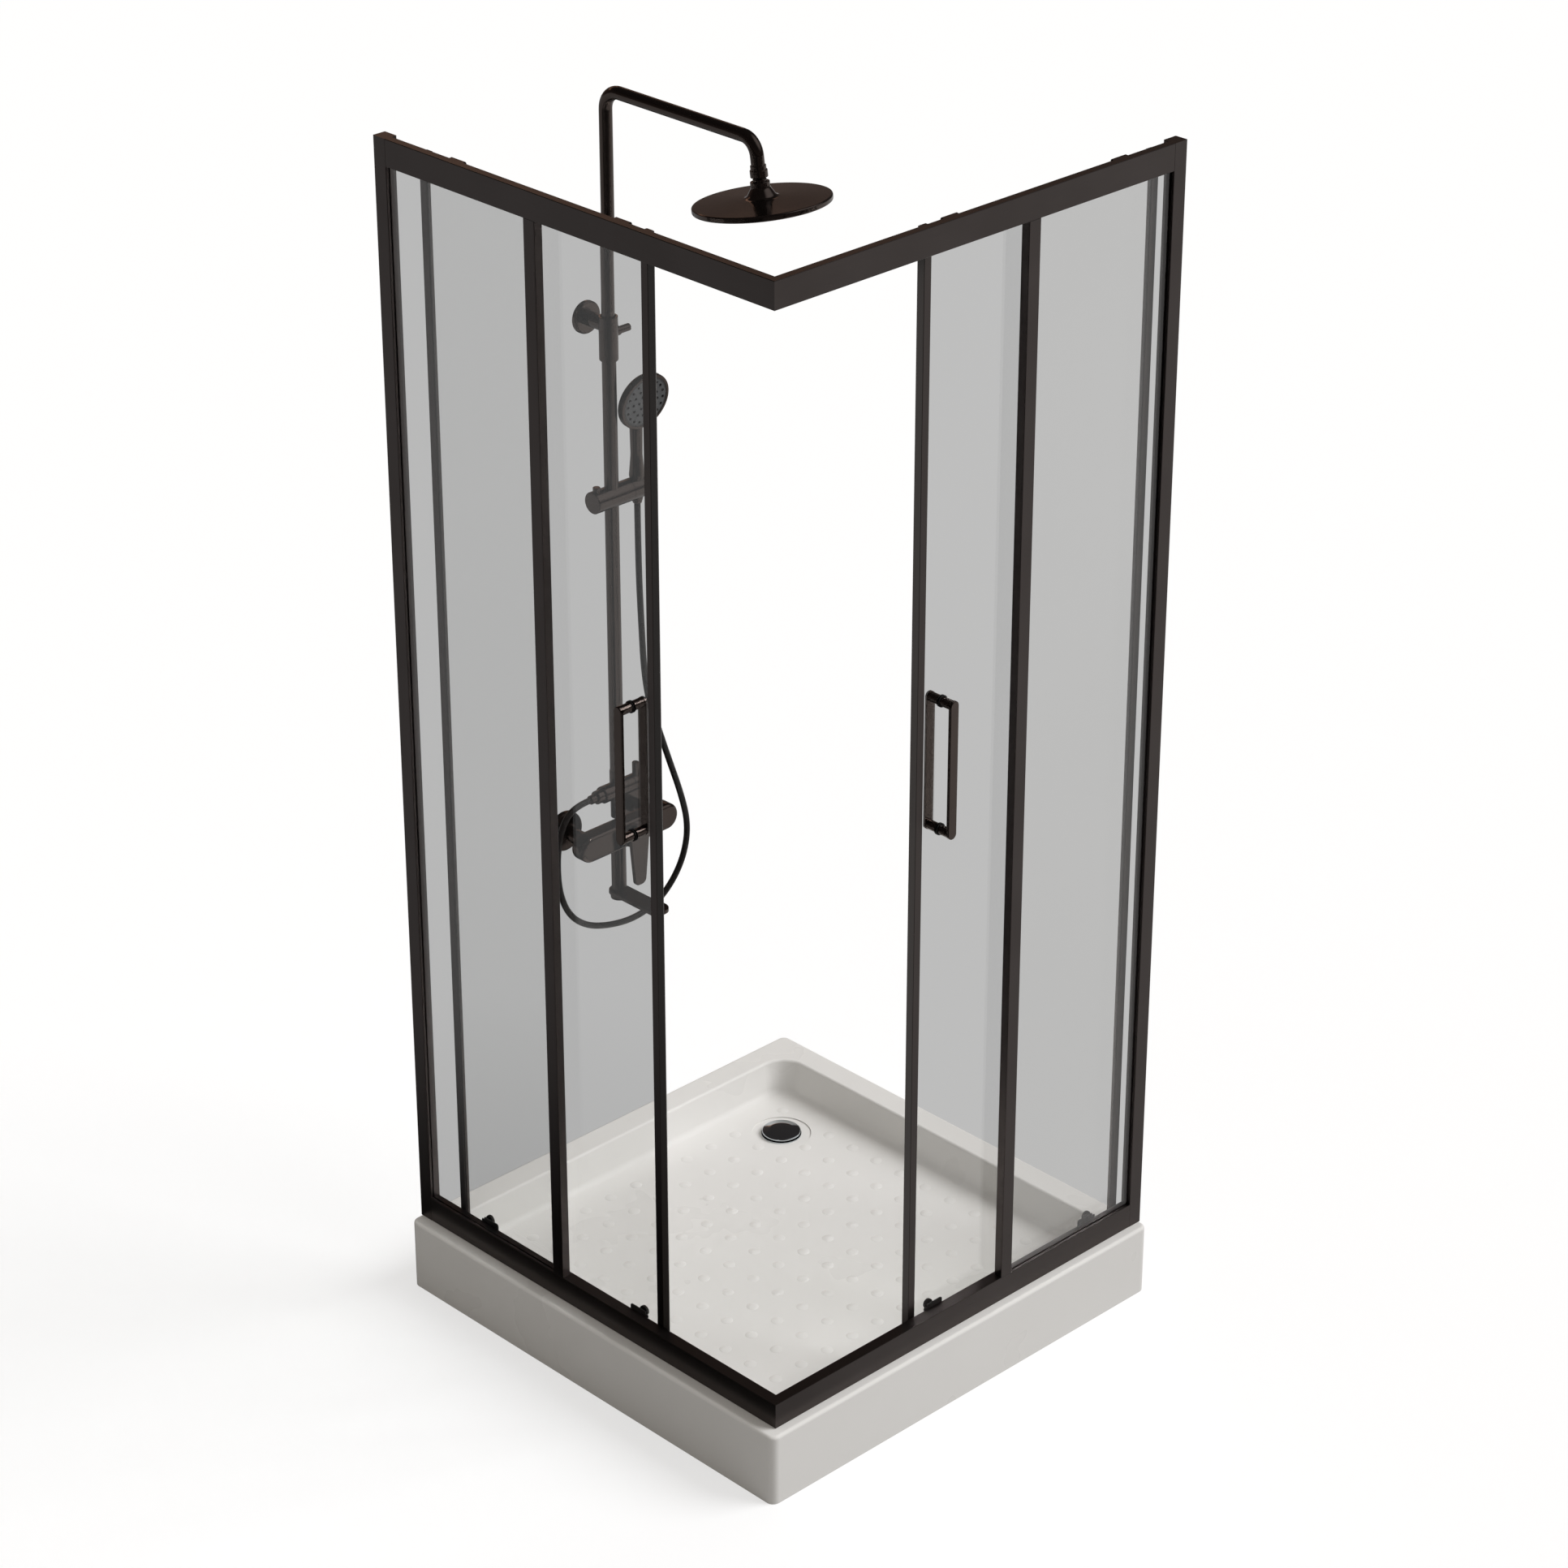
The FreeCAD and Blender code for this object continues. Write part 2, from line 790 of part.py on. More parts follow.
def wall_channel(length):
    """Channel screwed to the wall: a web with three screw holes and two legs inside the post."""
    front = frame_wall + running_gap
    back = post_depth - frame_wall - running_gap
    start = length - channel_leg
    pairs = [
        (start, front),
        (length, front),
        (length, back),
        (start, back),
        (start, back - channel_wall),
        (length - channel_wall, back - channel_wall),
        (length - channel_wall, front + channel_wall),
        (start, front + channel_wall),
    ]
    top = rail_top - cap_plate
    channel = prism(flat(pairs, tray_height), 0, UP * (top - tray_height))
    for level in (tray_height + channel_hole_inset, (tray_height + top) / 2, top - channel_hole_inset):
        middle = Vec(length, (front + back) / 2, level)
        reach = ALONG_X * overrun
        channel = channel.cut(rod(channel_hole_radius, middle - reach, middle + reach))
    return channel


def fixed_stile(stile):
    """Upright at the free edge of the fixed pane, between the two rails."""
    far = stile + stile_width
    slot = far - glass_seat - seat_gap
    front = fixed_glass_setback - seat_gap
    back = fixed_glass_setback + glass_thickness + seat_gap
    pairs = [
        (stile, 0),
        (far, 0),
        (far, front),
        (slot, front),
        (slot, back),
        (far, back),
        (far, stile_depth),
        (stile, stile_depth),
    ]
    edge = frame_edge_radius
    radii = [edge, edge, 0, 0, 0, 0, edge, edge]
    return prism(flat(pairs, bottom_rail_top), radii, UP * (top_rail_bottom - bottom_rail_top))


def fixed_glass(length, stile):
    """Fixed pane, seated in the stile, the post and both rails."""
    start = stile + stile_width - glass_seat
    end = length - post_width + glass_seat
    low = bottom_rail_top - glass_seat
    high = top_rail_bottom + glass_seat
    return block(
        Vec(start, fixed_glass_setback, low),
        Vec(end, fixed_glass_setback + glass_thickness, high),
    )


def corner_joints():
    """Two angle blocks that join the mitred rails from inside."""
    blocks = []
    rooms = (
        (top_chamber(), top_rail_depth - frame_wall),
        (bottom_chamber(), bottom_chamber_depth()),
    )
    for (low, high), back in rooms:
        near = frame_wall + running_gap
        far = back - running_gap
        leg = corner_block_leg
        pairs = [(near, near), (leg, near), (leg, far), (far, far), (far, leg), (near, leg)]
        outline = [Vec(-a, b, low + running_gap) + corner for a, b in pairs]
        blocks.append(prism(outline, 0, UP * (high - low - 2 * running_gap)))
    return Part.makeCompound(blocks)


def door_stile(edge, inward, top):
    """Upright on a door's edge, with the slot for its pane; inward is 1 or -1 along the screen."""
    wide = door_stile_width
    front = door_stile_front
    back = front + door_stile_depth
    slot_front = door_glass_setback - seat_gap
    slot_back = door_glass_back + seat_gap
    pairs = [
        (0, front),
        (wide, front),
        (wide, slot_front),
        (wide - glass_seat - seat_gap, slot_front),
        (wide - glass_seat - seat_gap, slot_back),
        (wide, slot_back),
        (wide, back),
        (0, back),
    ]
    radii = [door_front_edge_radius, 0, 0, 0, 0, 0, door_stile_radius, door_stile_radius]
    outline = flat([(edge + inward * a, b) for a, b in pairs], door_bottom)
    return prism(outline, radii, UP * (top - door_bottom))


def magnetic_seal(lead):
    """Bevelled magnetic strip on the leading stile, which meets its twin on the mitre of the shut doors."""
    front = door_stile_front + magnet_inset
    back = door_stile_front + door_stile_depth - magnet_inset
    move = lead - closed_lead
    pairs = [
        (closed_lead, front),
        (closed_lead, back),
        (back + magnet_gap, back),
        (front + magnet_gap, front),
    ]
    outline = flat([(a + move, b) for a, b in pairs], door_bottom)
    return prism(outline, 0, UP * (door_top - door_bottom))


def door_glass(lead):
    """Sliding pane with the holes for its carriages, guides and handles."""
    start = lead + door_stile_width - glass_seat
    end = lead + door_width - door_stile_width + glass_seat
    pane = block(
        Vec(start, door_glass_setback, door_bottom + door_glass_inset),
        Vec(end, door_glass_back, door_glass_top),
    )
    holes = [(place, clamp_hole_radius) for place in clamp_places(lead)]
    holes += [(place, guide_screw_radius) for place in guide_screw_places(lead)]
    holes += [(place, handle_hole_radius) for place in handle_places(lead)]
    for place, radius in holes:
        level = Vec(place.x, door_glass_setback - overrun, place.z)
        pane = pane.cut(rod(radius, level, level + ALONG_Y * (glass_thickness + 2 * overrun)))
    return pane


def clamp_places(lead):
    """Where the carriages' clamp bolts go through the pane."""
    level = UP * (door_glass_top - clamp_below_top)
    return [ALONG_X * (wheel.x + clamp_from_wheel) + level for wheel in wheel_places(lead)]


def guide_screw_places(lead):
    """Where the lower guides' screws go through the pane."""
    height = guide_top - guide_screw_drop
    return [
        Vec(lead + guide_from_lead + guide_screw_inset, 0, height),
        Vec(lead + door_width - guide_from_trail - guide_screw_inset, 0, height),
    ]


def handle_places(lead):
    """Middles of the two posts of a door's handle."""
    along = lead + handle_from_lead
    low = handle_bottom + handle_width / 2
    high = handle_bottom + handle_height - handle_width / 2
    return [Vec(along, 0, low), Vec(along, 0, high)]


def wheel_places(lead):
    """Middles of a door's two wheels."""
    first = Vec(lead + wheel_from_lead, wheel_middle, wheel_height)
    return [first, first + ALONG_X * wheel_spacing]


def carriage(wheel, clamp):
    """Hanger of one wheel: plate on the pane, hood over the wheel, axle, and clamp bolt with its knob."""
    shoulder_top = rail_top - plate_below_rail
    hood_top = wheel.z + wheel_radius + hood_above_wheel
    hood_start = wheel.x - hood_width / 2
    hood_end = hood_start + hood_width
    end = hood_start + plate_length
    bend = hood_above_wheel
    pairs = [
        (hood_start, plate_low),
        (end, plate_low),
        (end, shoulder_top),
        (hood_end, shoulder_top),
        (hood_end, hood_top),
        (hood_start, hood_top),
    ]
    radii = [plate_corner_radius, plate_corner_radius, plate_corner_radius, bend, bend, bend]
    plate = prism([Vec(a, plate_front, b) for a, b in pairs], radii, ALONG_Y * plate_thickness)
    hood_front = wheel.y - wheel_width / 2
    fixed_face = plate_front + slip
    hood = block(
        Vec(hood_start + bend, hood_front, hood_top - hood_thickness),
        Vec(hood_end - bend, fixed_face, hood_top),
    )
    axle = rod(axle_radius, Vec(wheel.x, hood_front, wheel.z), Vec(wheel.x, fixed_face, wheel.z))
    shoulder_start = wheel.y + wheel_width / 2 + seat_gap
    shoulder = rod(2 * axle_radius, Vec(wheel.x, shoulder_start, wheel.z), Vec(wheel.x, fixed_face, wheel.z))
    knob_base = Vec(clamp.x, door_glass_back, clamp.z)
    bolt = rod(clamp_bolt_radius, Vec(clamp.x, plate_back - slip, clamp.z), knob_base)
    return joined([plate, hood, axle, shoulder, bolt, round_knob(clamp_radius, clamp_height, knob_base)])


def round_knob(radius, height, base):
    """Low round knob on a pane's inner face, with a softened rim."""
    pairs = [(0, 0), (radius, 0), (radius, height), (0, height)]
    return turned(pairs, [0, 0, knob_edge_radius, 0], base, ALONG_Y)


def roller_carriages(lead):
    """The two hangers of one door."""
    places = zip(wheel_places(lead), clamp_places(lead))
    return Part.makeCompound([carriage(wheel, clamp) for wheel, clamp in places])


def roller_wheel(place):
    """Grooved wheel that runs on the track's crown."""
    half = wheel_width / 2
    groove = wheel_groove_width / 2
    flank = groove + wheel_groove_lean
    bore = axle_radius + slip
    pairs = [
        (bore, -half),
        (wheel_radius, -half),
        (wheel_radius, -flank),
        (wheel_rolling_radius, -groove),
        (wheel_rolling_radius, groove),
        (wheel_radius, flank),
        (wheel_radius, half),
        (bore, half),
    ]
    return turned(pairs, 0, place, ALONG_Y)


def lower_guide(start, inward, screw):
    """Quick-release guide: plate on the pane, tongue in the rail's groove, screw, and knob inside."""
    end = start + inward * guide_width
    lug = start - inward * guide_lug_width
    pairs = [
        (start, guide_bottom),
        (end, guide_bottom),
        (end, guide_top),
        (start, guide_top),
        (start, guide_top - guide_lug_drop),
        (lug, guide_top - guide_lug_drop),
        (lug, guide_top - 2 * guide_lug_drop),
        (start, guide_top - 2 * guide_lug_drop),
    ]
    radii = [guide_corner_radius, guide_corner_radius, guide_corner_radius, guide_lug_radius, 0, 0, 0, 0]
    plate = prism([Vec(a, plate_front, b) for a, b in pairs], radii, ALONG_Y * plate_thickness)
    tongue_low = tray_height + guide_groove_lift + running_gap
    tongue_high = tongue_low + guide_groove_height - 2 * running_gap
    tongue = block(
        Vec(min(start, end), bottom_rail_depth - guide_groove_depth + running_gap, tongue_low),
        Vec(max(start, end), plate_back - slip, tongue_high),
    )
    front = Vec(screw.x, plate_front, screw.z)
    knob_base = Vec(screw.x, door_glass_back, screw.z)
    head = rod(guide_screw_radius, front - ALONG_Y * guide_screw_height, front + ALONG_Y * plate_thickness)
    shank = rod(guide_screw_radius - running_gap, front, knob_base)
    return joined([plate, tongue, head, shank, round_knob(guide_knob_radius, guide_knob_height, knob_base)])


def lower_guides(lead):
    """The two guides of one door."""
    screws = guide_screw_places(lead)
    return Part.makeCompound(
        [
            lower_guide(lead + guide_from_lead, 1, screws[0]),
            lower_guide(lead + door_width - guide_from_trail, -1, screws[1]),
        ]
    )


def handle(lead, glass_face, outward, bolt_length):
    """Flat bar with round ends on two posts; outward is the way it stands off the glass."""
    places = handle_places(lead)
    back = glass_face + outward * handle_post_length
    half = handle_width / 2
    low = places[0].z - half
    high = places[1].z + half
    along = places[0].x
    pairs = [(along - half, low), (along + half, low), (along + half, high), (along - half, high)]
    bar = prism([Vec(a, back, b) for a, b in pairs], half, ALONG_Y * outward * handle_thickness)
    face = back + outward * handle_thickness
    bar = softened(bar, handle_edge_radius, lambda edge: lies_across(edge, face))
    pieces = [bar]
    for place in places:
        start = Vec(place.x, glass_face, place.z)
        pieces.append(rod(handle_post_radius, start, start + ALONG_Y * outward * (handle_post_length + slip)))
        if bolt_length > 0:
            pieces.append(rod(handle_bolt_radius, start, start - ALONG_Y * outward * bolt_length))
    return joined(pieces)


def lies_across(edge, depth):
    """Whether an edge lies wholly at one distance along Y."""
    box = edge.BoundBox
    return abs(box.YMin - depth) < slip and abs(box.YMax - depth) < slip


def column_bracket():
    """Wall flange, stem and the sleeve round the riser's joint, with the boss for the lock screw."""
    pairs = [
        (riser_radius + slip, sleeve_bottom),
        (sleeve_radius, sleeve_bottom),
        (sleeve_radius, sleeve_top),
        (sleeve_mouth_radius, sleeve_top),
        (sleeve_mouth_radius, sleeve_top - sleeve_mouth_depth),
        (arm_radius + slip, sleeve_top - sleeve_mouth_depth),
        (arm_radius + slip, riser_top),
        (riser_radius + slip, riser_top),
    ]
    radii = [0, sleeve_edge_radius, sleeve_mouth_edge_radius, 0, 0, 0, 0, 0]
    sleeve = turned(pairs, radii, column, UP)
    wall = Vec(-half_side, 0, bracket_height)
    pairs = [
        (0, 0),
        (bracket_flange_radius, 0),
        (bracket_flange_radius, bracket_flange_thickness),
        (0, bracket_flange_thickness),
    ]
    flange = turned(pairs, [0, 0, bracket_flange_edge, 0], wall, ALONG_X)
    stem = rod(bracket_stem_radius, wall, Vec(column.x, 0, bracket_height))
    boss_start = Vec(column.x, 0, lock_height)
    boss = rod(lock_boss_radius, boss_start, boss_start + ALONG_Y * lock_boss_reach)
    solid = rod(arm_radius + slip, column + UP * (riser_top - slip), column + UP * sleeve_top)
    lower = rod(riser_radius + slip, column + UP * sleeve_bottom, column + UP * riser_top)
    hole = rod(lock_screw_radius + slip, boss_start, boss_start + ALONG_Y * (lock_boss_reach + overrun))
    return joined([sleeve, flange, stem, boss]).cut(solid).cut(lower).cut(hole)


def lower_riser():
    """Riser tube from the diverter up into the sleeve."""
    low = column + UP * riser_bottom
    high = column + UP * riser_top
    return rod(riser_radius, low, high).cut(rod(riser_bore_radius, low - UP * overrun, high + UP * overrun))


def arm_seal():
    """Seal carrier at the foot of the arm, which slides in the riser while the arm turns on it."""
    top = arm_bottom - slip
    step = arm_seal_height / 4
    outer = riser_bore_radius - slip
    inner = arm_bore_radius
    neck = (outer + inner) / 2
    pairs = [
        (inner, top - 4 * step),
        (outer, top - 4 * step),
        (outer, top - 3 * step),
        (neck, top - 3 * step),
        (neck, top - 2 * step),
        (outer, top - 2 * step),
        (outer, top),
        (inner, top),
    ]
    return turned(pairs, 0, column, UP)


def arm_points():
    """Corners of the arm's line: foot, top of the riser, over the head, and the end."""
    lean = math.radians(arm_end_lean)
    down = Vec(math.sin(lean), 0, -math.cos(lean))
    bend = Vec(column.x + arm_reach, 0, arm_height)
    drop = arm_end_drop / math.cos(lean)
    return [column + UP * arm_bottom, column + UP * arm_height, bend, bend + down * drop], down


def smooth_path(points, radii):
    """Open wire of straight runs joined by tangent arcs at the inner points."""
    edges = []
    start = points[0]
    for index, radius in enumerate(radii, 1):
        point = points[index]
        back = points[index - 1] - point
        ahead = points[index + 1] - point
        back.normalize()
        ahead.normalize()
        half = back.getAngle(ahead) / 2
        middle = back + ahead
        middle.normalize()
        reach = radius / math.tan(half)
        entry = point + back * reach
        leave = point + ahead * reach
        edges.append(Part.LineSegment(start, entry).toShape())
        edges.append(Part.Arc(entry, point + middle * (radius / math.sin(half) - radius), leave).toShape())
        start = leave
    edges.append(Part.LineSegment(start, points[-1]).toShape())
    return Part.Wire(edges)


def tube_along(path, radius, start, direction):
    """Round solid swept along a wire."""
    ring = Part.Wire(Part.makeCircle(radius, start, direction))
    return path.makePipeShell([ring], True, True)


def riser_arm():
    """Upper tube: up through the sleeve, over in two bends, and down to the head."""
    points, down = arm_points()
    path = smooth_path(points, [arm_bend_radius, arm_head_bend_radius])
    outer = tube_along(path, arm_radius, points[0], UP)
    inner = tube_along(path, arm_bore_radius, points[0], UP)
    return outer.cut(inner)


def end_frame():
    """Placement that takes a piece hanging from the origin along -Z to the arm's end."""
    points, down = arm_points()
    return FreeCAD.Placement(points[-1], FreeCAD.Rotation(UP, down * -1))


def ball_nut():
    """Swivel nut on the arm's end: threaded ring above, ball socket below."""
    sink = nut_grip
    ring_end = -sink - nut_ring_length
    pairs = [
        (arm_radius + slip, sink),
        (nut_ring_radius, sink),
        (nut_ring_radius, sink - nut_ring_length),
        (nut_radius, sink - nut_ring_length),
        (nut_radius, sink - nut_length),
        (nut_mouth_radius, sink - nut_length),
        (ball_neck_radius, -ball_depth),
        (ball_neck_radius, 0),
        (arm_radius + slip, 0),
    ]
    radii = [0, nut_ring_edge_radius, 0, nut_edge_radius, nut_edge_radius, 0, 0, 0, 0]
    nut = turned(pairs, radii, ORIGIN, UP)
    nut = nut.cut(Part.makeSphere(ball_radius + ball_gap, Vec(0, 0, -ball_depth)))
    nut.Placement = end_frame()
    return nut


def head_top():
    """Distance from the arm's end down to the collar under the nut."""
    return nut_length - nut_grip + collar_gap


def rain_head():
    """Round head with its hub, collar and ball, turned about the arm's end axis."""
    top = -head_top()
    hub = top - collar_length
    foot = hub - hub_length
    plate = foot - hub_foot_length
    pairs = [
        (0, -ball_depth),
        (ball_neck_radius, -ball_depth),
        (ball_neck_radius, top),
        (collar_radius, top),
        (collar_radius, hub),
        (hub_radius, hub),
        (hub_radius, foot),
        (hub_foot_radius, plate),
        (head_radius, plate - head_dome),
        (head_radius, plate - head_dome - head_rim),
        (0, plate - head_dome - head_rim),
    ]
    edge = head_edge_radius
    radii = [0, 0, 0, nut_edge_radius, 0, nut_edge_radius, hub_bend_radius, hub_foot_bend_radius]
    radii += [edge, edge, 0]
    head = turned(pairs, radii, ORIGIN, UP)
    head = joined([head, Part.makeSphere(ball_radius, Vec(0, 0, -ball_depth))])
    head.Placement = end_frame()
    return head


def lock_knob():
    """Slotted clamp knob on its screw, which reaches the arm through the boss."""
    start = Vec(column.x, lock_boss_reach + seat_gap, lock_height)
    pairs = [
        (0, 0),
        (lock_knob_radius, 0),
        (lock_knob_radius, lock_knob_length),
        (0, lock_knob_length),
    ]
    knob = turned(pairs, [0, lock_knob_edge, lock_knob_edge, 0], start, ALONG_Y)
    end = start + ALONG_Y * lock_knob_length
    half = lock_slot_width / 2
    wide = lock_knob_radius
    slot = block(end - Vec(wide, lock_slot_depth, half), end + Vec(wide, overrun, half))
    tip = Vec(column.x, arm_radius + running_gap, lock_height)
    return joined([knob.cut(slot), rod(lock_screw_radius, tip, start + ALONG_Y * slip)])


def slider_middle():
    """Where the slider's axis crosses the column."""
    return Vec(column.x, 0, slider_height)


def slider():
    """Round body on the riser, bored for the tube and the button, with the cradle's pivot."""
    middle = slider_middle()
    start = middle - ALONG_Y * slider_left
    length = slider_left + slider_right
    pairs = [(0, 0), (slider_radius, 0), (slider_radius, length), (0, length)]
    radii = [0, slider_edge_radius, slider_joint_edge_radius, 0]
    body = turned(pairs, radii, start, ALONG_Y)
    end = middle + ALONG_Y * slider_right
    pivot = rod(pivot_radius, end - ALONG_Y * slip, end + ALONG_Y * pivot_length)
    reach = UP * (slider_radius + overrun)
    well = middle - ALONG_Y * button_offset
    well_floor = well + UP * (slider_radius - button_depth - button_travel)
    body = joined([body, pivot])
    body = body.cut(rod(riser_radius + slip, middle - reach, middle + reach))
    return body.cut(rod(button_radius + slip, well_floor, well + reach))


def slider_button():
    """Push button that frees the slider."""
    base = slider_middle() - ALONG_Y * button_offset + UP * (slider_radius - button_depth)
    height = button_depth + button_stand
    pairs = [(0, 0), (button_radius, 0), (button_radius, height), (0, height)]
    return turned(pairs, [0, 0, button_edge_radius, 0], base, UP)


def handset_cradle():
    """Tilting holder: the slider's round end with a tapered seat and a slot that the hose passes through."""
    middle = slider_middle()
    start = middle + ALONG_Y * (slider_right + cradle_gap)
    pairs = [(0, 0), (slider_radius, 0), (slider_radius, cradle_length), (0, cradle_length)]
    radii = [0, slider_joint_edge_radius, slider_edge_radius, 0]
    body = turned(pairs, radii, start, ALONG_Y)
    seat = middle + ALONG_Y * handset_offset
    growth = (cradle_top_radius - cradle_bottom_radius) / (2 * slider_radius)
    low = cradle_bottom_radius - growth * overrun
    high = cradle_top_radius + growth * overrun
    base = seat - UP * (slider_radius + overrun)
    cone = Part.makeCone(low, high, 2 * (slider_radius + overrun), base)
    half = cradle_slot_width / 2
    slot = block(base - ALONG_X * half, base + Vec(half, slider_radius * 2, 2 * (slider_radius + overrun)))
    pin_end = middle + ALONG_Y * (slider_right + pivot_length + seat_gap)
    return body.cut(cone).cut(slot).cut(rod(pivot_radius + slip, start - ALONG_Y * overrun, pin_end))


def cone_radius(height):
    """Radius of the cradle's tapered seat at a height from the slider's axis."""
    middle = (cradle_top_radius + cradle_bottom_radius) / 2
    return middle + (cradle_top_radius - cradle_bottom_radius) * height / (2 * slider_radius)


def handset_foot():
    """Height of the handset's lower end, on top of its hose nut."""
    return slider_height + slider_radius + seat_gap


def handset_nut():
    """Tapered hose nut that sits in the cradle under the handset."""
    base = slider_middle() + ALONG_Y * handset_offset
    bottom = -slider_radius
    pairs = [
        (0, -hose_nut_drop),
        (hose_nut_radius, -hose_nut_drop),
        (cone_radius(bottom) - nut_cone_gap, bottom),
        (cone_radius(slider_radius) - nut_cone_gap, slider_radius + seat_gap),
        (0, slider_radius + seat_gap),
    ]
    return turned(pairs, [0, nut_edge_radius, 0, 0, 0], base, UP)


def face_middle():
    """Middle of the handset's face."""
    return Vec(column.x + face_forward, handset_offset, slider_height + face_rise)


def face_way():
    """Direction that the handset's face looks in."""
    dip = math.radians(face_dip)
    return Vec(math.cos(dip), 0, -math.sin(dip))


def handset():
    """Hand shower: waisted grip whose neck runs up into the back of a shallow round shell."""
    foot = Vec(column.x, handset_offset, handset_foot())
    rise = slider_height + handset_grip_rise - foot.z
    end = slider_height + handset_neck_rise - foot.z
    pairs = [
        (0, 0),
        (handle_foot_radius, 0),
        (handle_foot_radius, handle_foot_height),
        (handset_waist_radius, handset_waist_height),
        (handset_grip_radius, rise),
        (handset_neck_radius, end),
        (0, end),
    ]
    bend = handset_bend_radius
    radii = [0, nut_edge_radius, nut_edge_radius, bend, bend, handset_neck_end_radius, 0]
    grip = turned(pairs, radii, foot, UP)
    back = face_middle() - face_way() * shell_depth
    pairs = [
        (0, 0),
        (shell_back_radius, 0),
        (shell_radius, shell_depth - shell_edge),
        (shell_radius, shell_depth),
        (face_radius, shell_depth),
        (face_radius, shell_depth - face_thickness),
        (0, shell_depth - face_thickness),
    ]
    radii = [0, shell_bend_radius, shell_edge_radius, shell_rim_radius, 0, 0, 0]
    return joined([grip, turned(pairs, radii, back, face_way())])


def handset_face():
    """Face plate with four rings of nozzles."""
    seat = face_middle() - face_way() * face_thickness
    plate = rod(face_radius - slip, seat, seat + face_way() * (face_thickness - face_inset))
    front = seat + face_way() * (face_thickness - face_inset - slip)
    sideways = face_way().cross(ALONG_Y)
    pieces = [plate]
    for ring, count in enumerate(nozzle_counts):
        for step in range(count):
            turn = 2 * math.pi * step / count
            away = ALONG_Y * math.cos(turn) + sideways * math.sin(turn)
            place = front + away * (ring * nozzle_ring_pitch)
            pieces.append(rod(nozzle_radius, place, place + face_way() * nozzle_height))
    return joined(pieces)


def diverter():
    """Cross body under the riser: collar for the tube, hose outlet to the left and knob seat to the right."""
    middle = column + UP * diverter_height
    start = middle - ALONG_Y * diverter_left
    length = diverter_left + diverter_right
    pairs = [(0, 0), (diverter_radius, 0), (diverter_radius, length), (0, length)]
    body = turned(pairs, [0, diverter_edge_radius, diverter_joint_edge_radius, 0], start, ALONG_Y)
    rise = diverter_collar_rise
    pairs = [(0, 0), (diverter_collar_radius, 0), (diverter_collar_radius, rise), (0, rise)]
    collar = turned(pairs, [0, 0, diverter_edge_radius, 0], middle, UP)
    spigot = rod(riser_radius, middle, column + UP * (mixer_height + mixer_tall / 2))
    bore_top = middle + UP * (diverter_collar_rise + overrun)
    bore = rod(riser_radius + slip, column + UP * riser_bottom, bore_top)
    end = middle + ALONG_Y * diverter_right
    seat_end = end - ALONG_Y * (diverter_spindle_depth + seat_gap)
    seat = rod(diverter_spindle_radius + slip, seat_end, end + ALONG_Y * overrun)
    return joined([body, collar, spigot]).cut(bore).cut(seat)


def diverter_knob():
    """Round knob with an upright pin, on the spindle that turns in the body."""
    start = Vec(column.x, diverter_right + diverter_knob_gap, diverter_height)
    pairs = [(0, 0), (diverter_radius, 0), (diverter_radius, diverter_knob_length), (0, diverter_knob_length)]
    body = turned(pairs, [0, diverter_joint_edge_radius, diverter_edge_radius, 0], start, ALONG_Y)
    base = start + ALONG_Y * diverter_pin_inset
    height = diverter_pin_rise
    pairs = [(0, 0), (diverter_pin_radius, 0), (diverter_pin_radius, height), (0, height)]
    pin = turned(pairs, [0, 0, diverter_edge_radius, 0], base, UP)
    spindle_end = start - ALONG_Y * (diverter_knob_gap + diverter_spindle_depth)
    return joined([body, pin, rod(diverter_spindle_radius, start + ALONG_Y * slip, spindle_end)])


def outlet_nut():
    """Hose nut and ferrule on the diverter's outlet."""
    start = Vec(column.x, -diverter_left, diverter_height)
    full = outlet_nut_length + ferrule_length
    pairs = [
        (0, 0),
        (outlet_nut_radius, 0),
        (outlet_nut_radius, outlet_nut_length),
        (ferrule_radius, outlet_nut_length),
        (ferrule_radius, full),
        (0, full),
    ]
    radii = [0, nut_ring_edge_radius, nut_edge_radius, 0, nut_edge_radius, 0]
    return turned(pairs, radii, start, ALONG_Y * -1)


def mixer_body():
    """Pill-shaped body with softened rims, and the tube that drops to the spout."""
    half_length = mixer_length / 2
    half_tall = mixer_tall / 2
    back = mixer_middle - mixer_thick / 2
    low = mixer_height - half_tall
    high = mixer_height + half_tall
    pairs = [(-half_length, low), (half_length, low), (half_length, high), (-half_length, high)]
    body = prism(upright(pairs, back), half_tall, ALONG_X * mixer_thick)
    body = softened(body, mixer_edge_radius, lambda edge: edge.BoundBox.XLength < slip)
    tube = rod(drop_tube_radius, column + UP * drop_tube_bottom, column + UP * mixer_height)
    return joined([body, tube.cut(behind_mixer(back, low))])


def behind_mixer(back, low):
    """Room behind the mixer above its underside, where the tube is cut flush with the back."""
    deep = 2 * drop_tube_radius
    return block(Vec(back - deep, -deep, low + mixer_edge_radius), Vec(back, deep, mixer_height + deep))


def mixer_unions():
    """Two inlets: a wall rose and a union, bored for the wall pipe."""
    unions = []
    for hand in (-1, 1):
        wall = Vec(-half_side, hand * union_spacing / 2, union_height)
        pairs = [(0, 0), (rose_radius, 0), (rose_radius, rose_thickness), (0, rose_thickness)]
        rose = turned(pairs, [0, 0, rose_edge_radius, 0], wall, ALONG_X)
        end = Vec(mixer_middle - mixer_thick / 2, wall.y, wall.z)
        bore = rod(union_bore_radius, wall - ALONG_X * overrun, wall + ALONG_X * union_bore_depth)
        unions.append(joined([rose, rod(union_radius, wall, end)]).cut(bore))
    return Part.makeCompound(unions)


